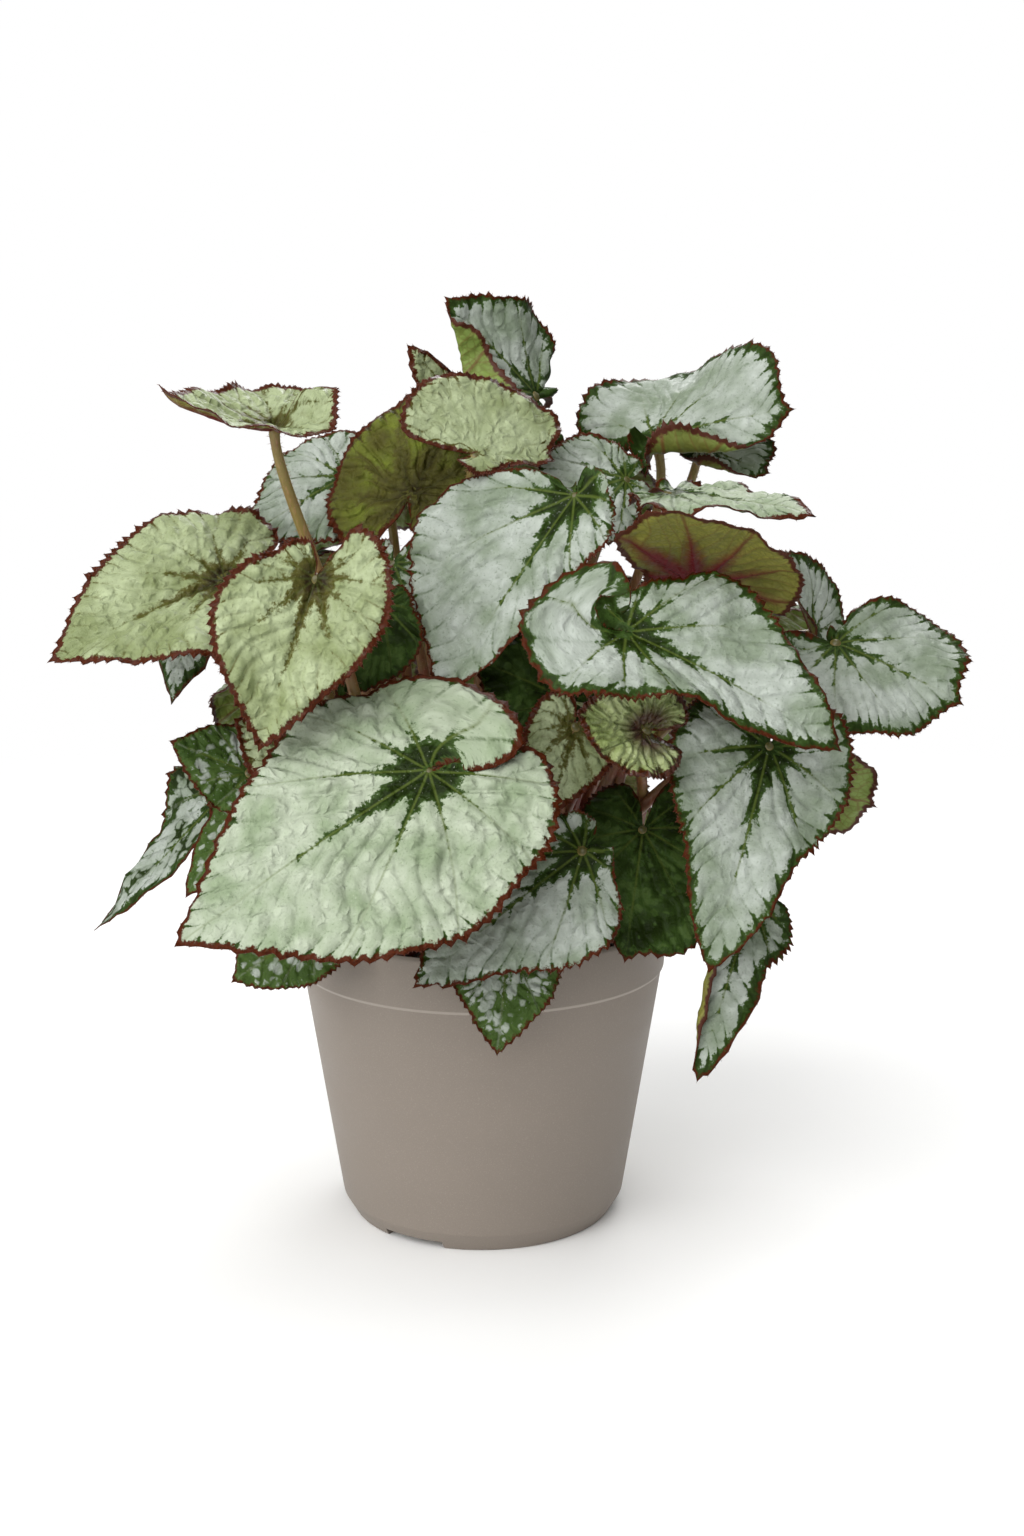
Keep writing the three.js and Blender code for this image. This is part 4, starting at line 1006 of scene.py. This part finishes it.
# ---------------------------------------------------------------- stalks and rhizomes
def catmull_rom(points, t):
    """A point at t from 0 to 1 on the smooth curve through three points, centripetal as
    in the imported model's rhizomes."""
    a, b, c = (np.array(p, float) for p in points)
    chain = [2 * a - b, a, b, c, 2 * c - b]
    i = 1 if t < 0.5 else 2
    p = chain[i - 1:i + 3]
    steps = [np.linalg.norm(p[k + 1] - p[k]) ** 0.5 for k in range(3)]
    first = ((p[1] - p[0]) / steps[0] - (p[2] - p[0]) / (steps[0] + steps[1])
             + (p[2] - p[1]) / steps[1]) * steps[1]
    last = ((p[2] - p[1]) / steps[1] - (p[3] - p[1]) / (steps[1] + steps[2])
            + (p[3] - p[2]) / steps[2]) * steps[1]
    w = 2 * t - (i - 1)
    return (p[1] * (1 + 2 * w) * (1 - w) ** 2 + first * w * (1 - w) ** 2
            + p[2] * w * w * (3 - 2 * w) + last * w * w * (w - 1))


def rhizome_axis(crown):
    return [(x, y, SOIL_TOP + rise) for (x, y), rise in zip(CROWNS[crown], RHIZOME_RISE)]


def stalk_path(row, steps):
    """Points up a stalk from its rhizome to just through the blade."""
    start, along, _, up, _ = blade_frame(row)
    crown = list(CROWNS)[row.stalk[0]]
    foot = catmull_rom(rhizome_axis(crown), ROOTED + (1 - 2 * ROOTED) * row.stalk[1])
    out = up * math.cos(row.bend / 2) - along * math.sin(row.bend / 2)
    end = start - out * CLEARANCE
    reach = np.linalg.norm(end - foot)
    first = foot + np.array([*row.lean, STALK_RISE * reach])
    last = end - out * row.crook * reach
    t = np.linspace(0, 1, steps)[:, None]
    path = ((1 - t) ** 3 * foot + 3 * t * (1 - t) ** 2 * first
            + 3 * t * t * (1 - t) * last + t ** 3 * end)
    # It ends in a low knot on the blade's upper face.
    return np.concatenate([path, [end + 0.7 * out, end + 1.0 * out]])


def tube(path, radii, sides, bumps):
    """A closed tube of changing radius along a path: its points, its faces, and the ways
    out from the path to each ring's points."""
    ways = unit(np.gradient(path, axis=0))
    across = [unit(np.cross(ways[0], [0.3, 1, 0.2]))]
    for way in ways[1:]:
        across.append(unit(across[-1] - way * way.dot(across[-1])))
    across = np.array(across)
    third = np.cross(ways, across)
    a = np.linspace(0, 2 * math.pi, sides, endpoint=False)
    ring = np.cos(a)[:, None] * across[:, None] + np.sin(a)[:, None] * third[:, None]
    points = path[:, None] + ring * (radii[:, None] * bumps)[..., None]
    points = np.concatenate([points.reshape(-1, 3), path[:1], path[-1:]])
    return points, *ring_faces(len(path), sides), ring


def build_crown(crown, settings, materials):
    """A rhizome, ringed with old leaf scars, with the stalks that grow from it and their
    hairs."""
    # Each rhizome has its own seed.
    rng = np.random.default_rng(len(crown) + ord(crown[-2]))
    points, quads, caps, hairs, heights = [], [], [], [], []
    count = 0
    steps, round_rhizome, round_stalk = 46, 18, 12
    axis = rhizome_axis(crown)
    t = np.linspace(-0.02, 1.02, steps)
    path = np.array([catmull_rom(axis, k) for k in t])
    scars = 1 + 0.07 * np.sin(np.arange(steps) * 1.7)
    ends = 1 - 0.55 * np.clip(np.abs(t - 0.5) * 2 - 0.86, 0, 1) / 0.18
    bumps = 1 + rng.normal(0, 0.03, (steps, round_rhizome))
    radii = (RHIZOME - 0.3) * scars * ends
    tubes = [(path, radii, round_rhizome, bumps, np.zeros(steps))]
    for row in LEAVES:
        if list(CROWNS)[row.stalk[0]] != crown:
            continue
        path = stalk_path(row, 30)
        share = np.linspace(0, 1, len(path))
        radii = settings.foot / MM + (settings.top - settings.foot) / MM * share
        radii = radii * (1 + 0.03 * ripple(rng, share * 60, share * 0, 9))
        # A stalk swells at its foot and at its knot.
        radii[:4] *= [1.5, 1.3, 1.15, 1.05]
        radii[-4:] *= [1.1, 1.2, 0.7, 0.35]
        tubes.append((path, radii, round_stalk, np.ones((len(path), round_stalk)), share))
    for path, radii, sides, bumps, share in tubes:
        made, sides_faces, cap_faces, ring = tube(path, radii, sides, bumps)
        points.append(made)
        quads.append(sides_faces + count)
        caps.append(cap_faces + count)
        heights += [np.repeat(share, sides), [share[0], share[-1]]]
        count += len(made)
        if sides == round_rhizome:
            continue  # the hairs are on the stalks only
        long = np.linalg.norm(np.diff(path, axis=0), axis=1).sum()
        number = int(HAIRS * long)
        k = rng.integers(1, len(path) - 3, number)
        side = rng.integers(0, sides, number)
        mix = rng.uniform(0, 1, (number, 1))
        root = path[k] * (1 - mix) + path[k + 1] * mix
        ways = ring[k, side]
        roots = root + ways * (radii[k] - 0.15)[:, None]
        ways = ways + rng.normal(0, 0.3, ways.shape)
        hairs.append((roots, ways, settings.hair / MM * rng.uniform(0.4, 1.1, number)))
    hairs = [np.concatenate(part) for part in zip(*hairs)]
    hair_points, hair_faces = spikes(*hairs, HAIR_RADIUS)
    up = np.concatenate([*heights, np.ones(len(hair_points))])
    faces = [np.concatenate(quads), np.concatenate(caps), hair_faces + count]
    build(crown.replace("crown", "stalks"), crown,
          np.concatenate([*points, hair_points]), faces, materials, (0, 0, 1), {"up": up})


# ---------------------------------------------------------------- pot and peat
def rounded(profile, radius, steps=4):
    """The profile with its corners cut back and rounded off."""
    points = [np.array(p, float) for p in profile]
    smooth = [points[0]]
    for before, corner, after in zip(points, points[1:], points[2:]):
        back, on = before - corner, after - corner
        cut = min(radius, 0.4 * np.linalg.norm(back), 0.4 * np.linalg.norm(on))
        start, end = corner + cut * unit(back), corner + cut * unit(on)
        for t in np.linspace(0, 1, steps):
            smooth.append((1 - t) ** 2 * start + 2 * t * (1 - t) * corner + t * t * end)
    return np.array([*smooth, points[-1]])


def lathe(profile, sides):
    """A closed solid of revolution whose half section starts and ends on the axis."""
    a = np.linspace(0, 2 * math.pi, sides, endpoint=False)
    inner = profile[1:-1]
    points = np.stack([inner[:, :1] * np.cos(a), inner[:, :1] * np.sin(a),
                       np.repeat(inner[:, 1:], sides, axis=1)], -1).reshape(-1, 3)
    ends = [(0, 0, profile[0, 1]), (0, 0, profile[-1, 1])]
    return np.concatenate([points, ends]), ring_faces(len(inner), sides)


def cutter(name, points, faces):
    mesh = bpy.data.meshes.new(name)
    mesh.from_pydata((np.array(points) * MM).tolist(), [], faces)
    return bpy.data.objects.new(name, mesh)


def build_pot(settings):
    points, faces = lathe(rounded(POT_PROFILE, POT_EDGE), 180)
    plastic = pot_material("moulded polypropylene, matt taupe", settings)
    pot = build("nursery_pot", "pot", points, faces, [plastic])
    # A box is cut out of the foot ring for each notch, and a drum for each drain hole.
    cuts = []
    wide, deep, high = (0.5 * size for size in NOTCH_SIZE)
    box = [(x, y - FOOT_RADIUS, z) for z in (-high, high)
           for x, y in ((-wide, -deep), (wide, -deep), (wide, deep), (-wide, deep))]
    sides = [(3, 2, 1, 0), (4, 5, 6, 7), (0, 1, 5, 4), (1, 2, 6, 5), (2, 3, 7, 6), (3, 0, 4, 7)]
    for degrees in NOTCH_ANGLES:
        c, s = math.cos(math.radians(degrees)), math.sin(math.radians(degrees))
        turned = [(c * x - s * y, s * x + c * y, z) for x, y, z in box]
        cuts.append(cutter("water_notch", turned, sides))
    around = 28
    for i in range(DRAIN_HOLES):
        a = 2 * math.pi * (i + 0.5) / DRAIN_HOLES
        x, y = DRAIN_CIRCLE * math.cos(a), DRAIN_CIRCLE * math.sin(a)
        turns = [2 * math.pi * k / around for k in range(around)]
        ring = [(x + DRAIN_RADIUS * math.cos(b), y + DRAIN_RADIUS * math.sin(b), z)
                for z in (-1, 8) for b in turns]
        walls = [(k, (k + 1) % around, around + (k + 1) % around, around + k)
                 for k in range(around)]
        lids = [tuple(reversed(range(around))), tuple(range(around, 2 * around))]
        cuts.append(cutter("drain_hole", ring, walls + lids))
    for cut in cuts:
        bpy.context.scene.collection.objects.link(cut)
        modifier = pot.modifiers.new(cut.name, "BOOLEAN")
        modifier.operation, modifier.solver, modifier.object = "DIFFERENCE", "EXACT", cut
    seen = pot.evaluated_get(bpy.context.evaluated_depsgraph_get())
    made = bpy.data.meshes.new_from_object(seen)
    pot.modifiers.clear()
    pot.data = made
    made.set_sharp_from_angle(angle=math.radians(40))
    for cut in cuts:
        bpy.data.objects.remove(cut)


def build_peat(settings):
    """The whole root ball's peat: a turned body with a heaped, crumbled surface."""
    rng = np.random.default_rng(5)
    low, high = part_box("soil")
    radius = 0.5 * (high[0] - low[0]) / MM
    sides, rings = 150, 44
    a = np.linspace(0, 2 * math.pi, sides, endpoint=False)
    share = (np.arange(1, rings + 1) / rings)[:, None]
    x, y = share * radius * np.cos(a), share * radius * np.sin(a)
    z = SOIL_TOP + PEAT_HEAP * (1 - share ** 2) + 0 * x
    # Lumps of three sizes: how far apart they are, and how high, in mm.
    for wavelength, height in ((30, 1.1), (9, 0.7), (3.6, 0.5)):
        z = z + height * ripple(rng, x, y, wavelength, 9)
    z = z - 1.5 * smoothstep(share, 0.9, 1)
    top = np.stack([x, y, z], -1).reshape(-1, 3)
    # Radius and height of the body where it follows the inside of the pot.
    body = [(radius - 0.3, 99), (54.2, 9), (48.9, 5.1)]
    wall = np.array([(r * math.cos(k), r * math.sin(k), h) for r, h in body for k in a])
    middles = [(0, 0, SOIL_TOP + PEAT_HEAP + 0.2), (0, 0, body[-1][1])]
    points = np.concatenate([top, wall, middles])
    # The rings run downward, so the faces are turned over.
    quads, fans = ring_faces(rings + len(body), sides)
    quads, fans = quads[:, [0, 3, 2, 1]], fans[:, [0, 2, 1]]
    # Loose crumbs on the surface: lumpy closed balls, half sunk.
    corners = np.array([(0, 0, 1), (1, 0, 0), (0, 1, 0), (-1, 0, 0), (0, -1, 0), (0, 0, -1)])
    sides = np.array([(0, 1, 2), (0, 2, 3), (0, 3, 4), (0, 4, 1),
                      (5, 2, 1), (5, 3, 2), (5, 4, 3), (5, 1, 4)])
    crumbs, crumb_faces = [], []
    for i in range(CRUMBS):
        r, turn = (radius - 3) * math.sqrt(rng.uniform()), rng.uniform(0, 2 * math.pi)
        size = settings.crumb / MM * rng.uniform(0.25, 1) * rng.uniform(0.4, 1)
        ball = corners * size * rng.uniform(0.6, 1.2, (6, 1))
        ball = ball + rng.normal(0, 0.1 * size, (6, 3))
        height = SOIL_TOP + PEAT_HEAP * (1 - (r / radius) ** 2) + rng.uniform(0, 0.8)
        crumbs.append(ball + (r * math.cos(turn), r * math.sin(turn), height))
        crumb_faces.append(sides + len(points) + i * len(corners))
    build("peat", "soil", np.concatenate([points, *crumbs]),
          [quads, fans, np.concatenate(crumb_faces)],
          [peat_material("moist peat, crumbled", settings)])


# ---------------------------------------------------------------- stage
def build_stage(settings):
    scene = bpy.context.scene
    # A round floor, 3 m in radius.
    angles = [k * math.pi / 24 for k in range(48)]
    rim = [(3 * math.cos(a), 3 * math.sin(a), 0) for a in angles]
    mesh = bpy.data.meshes.new("floor")
    mesh.from_pydata(rim, [], [tuple(range(48))])
    mesh.materials.append(floor_material("painted board, matt white", settings))
    floor = bpy.data.objects.new("floor", mesh)
    scene.collection.objects.link(floor)

    # Even light from all round, in front of a white wall.
    world = bpy.data.worlds.new("studio")
    world.use_nodes = True
    world.node_tree.nodes.clear()
    add = partial(add_node, world.node_tree)
    even = add("Background", (1, 1, 1), settings.sky)
    seen = add("Background", (1, 1, 1), 1)
    camera_ray = add("LightPath").outputs["Is Camera Ray"]
    add("OutputWorld", add("MixShader", camera_ray, even, seen))
    scene.world = world

    # Each soft round lamp: its place and size in metres, and its share of the key light.
    aim = Vector((0, 0, 0.2))
    for name, place, size, share in (
            ("key_light", (-0.5, -0.95, 1.25), 1.9, 1),
            ("fill_light", (-0.95, -0.85, 0.45), 0.9, 0.2),
            ("back_light", (0.3, 1, 1.1), 0.9, 0.45)):
        lamp = bpy.data.lights.new(name, "AREA")
        lamp.shape, lamp.size, lamp.energy = "DISK", size, share * settings.key
        light = bpy.data.objects.new(name, lamp)
        light.location = place
        light.rotation_euler = (aim - Vector(place)).to_track_quat("-Z", "Y").to_euler()
        scene.collection.objects.link(light)

    data = bpy.data.cameras.new("camera")
    data.sensor_fit = "VERTICAL"
    data.sensor_height = 36
    data.lens = settings.lens
    data.clip_start = 0.01
    camera = bpy.data.objects.new("camera", data)
    camera.location = CAMERA_PLACE
    camera.rotation_euler = (math.radians(90 - CAMERA_DOWN), 0, math.radians(CAMERA_YAW))
    scene.collection.objects.link(camera)
    scene.camera = camera
    scene.view_settings.view_transform = "Standard"


# ---------------------------------------------------------------- operators
class BEGONIA_OT_stage(bpy.types.Operator):
    """Sets the pale floor, the soft studio light and the camera"""
    bl_idname = "begonia.stage"
    bl_label = "Stage"

    def execute(self, context):
        build_stage(context.scene.begonia_stage)
        return {"FINISHED"}


class BEGONIA_OT_pot(bpy.types.Operator):
    """Builds the moulded nursery pot with its water notches and drain holes"""
    bl_idname = "begonia.pot"
    bl_label = "Pot"

    def execute(self, context):
        build_pot(context.scene.begonia_pot)
        return {"FINISHED"}


class BEGONIA_OT_peat(bpy.types.Operator):
    """Fills the pot with peat"""
    bl_idname = "begonia.peat"
    bl_label = "Peat"

    def execute(self, context):
        build_peat(context.scene.begonia_pot)
        return {"FINISHED"}


class BEGONIA_OT_stalks(bpy.types.Operator):
    """Builds the rhizomes and the hairy leaf stalks"""
    bl_idname = "begonia.stalks"
    bl_label = "Stalks"

    def execute(self, context):
        settings = context.scene.begonia_stalks
        materials = [stalk_material("begonia stalk, fleshy", settings),
                     hair_material("begonia stalk hair", settings.hairs)]
        for crown in CROWNS:
            build_crown(crown, settings, materials)
        return {"FINISHED"}


class BEGONIA_OT_leaves(bpy.types.Operator):
    """Builds the leaf blades with their veins, margins and bristles"""
    bl_idname = "begonia.leaves"
    bl_label = "Leaves"

    def execute(self, context):
        settings = context.scene.begonia_leaves
        upper = {}
        for style, (finish, colours, options) in STYLES.items():
            colours = [getattr(settings, colour) for colour in colours.split()]
            upper[style] = blade_upper("begonia blade, " + finish, settings, *colours,
                                       **options)
        green = blade_under("begonia blade underside, green", settings, settings.under, 0)
        crimson = blade_under("begonia blade underside, crimson", settings,
                              settings.under_warm, 4)
        bristles = hair_material("begonia margin bristle", linear("#6a2a0e"))
        for number, row in enumerate(LEAVES):
            below = crimson if row.name in CRIMSON_BELOW else green
            build_blade(row, number, settings, [upper[row.style], below, bristles])
        return {"FINISHED"}


class BEGONIA_PT_panel(bpy.types.Panel):
    """The steps of the begonia and their settings"""
    bl_idname = "BEGONIA_PT_panel"
    bl_label = "Potted rex begonia"
    bl_space_type = "VIEW_3D"
    bl_region_type = "UI"
    bl_category = "Begonia"

    def draw(self, context):
        for name, group, operators in STEPS:
            box = self.layout.box()
            for operator in operators:
                box.operator(operator.bl_idname)
            for setting in group.__annotations__:
                box.prop(getattr(context.scene, name), setting)


STEPS = (
    ("begonia_stage", BegoniaStageSettings, (BEGONIA_OT_stage,)),
    ("begonia_pot", BegoniaPotSettings, (BEGONIA_OT_pot, BEGONIA_OT_peat)),
    ("begonia_stalks", BegoniaStalkSettings, (BEGONIA_OT_stalks,)),
    ("begonia_leaves", BegoniaLeafSettings, (BEGONIA_OT_leaves,)),
)


def register():
    for name, group, operators in STEPS:
        bpy.utils.register_class(group)
        setattr(bpy.types.Scene, name, bpy.props.PointerProperty(type=group))
        for operator in operators:
            bpy.utils.register_class(operator)
    bpy.utils.register_class(BEGONIA_PT_panel)


def unregister():
    bpy.utils.unregister_class(BEGONIA_PT_panel)
    for name, group, operators in reversed(STEPS):
        for operator in reversed(operators):
            bpy.utils.unregister_class(operator)
        delattr(bpy.types.Scene, name)
        bpy.utils.unregister_class(group)


def main():
    register()
    bpy.ops.begonia.stage()
    bpy.ops.begonia.pot()
    bpy.ops.begonia.peat()
    bpy.ops.begonia.stalks()
    bpy.ops.begonia.leaves()


if __name__ == "__main__":
    main()
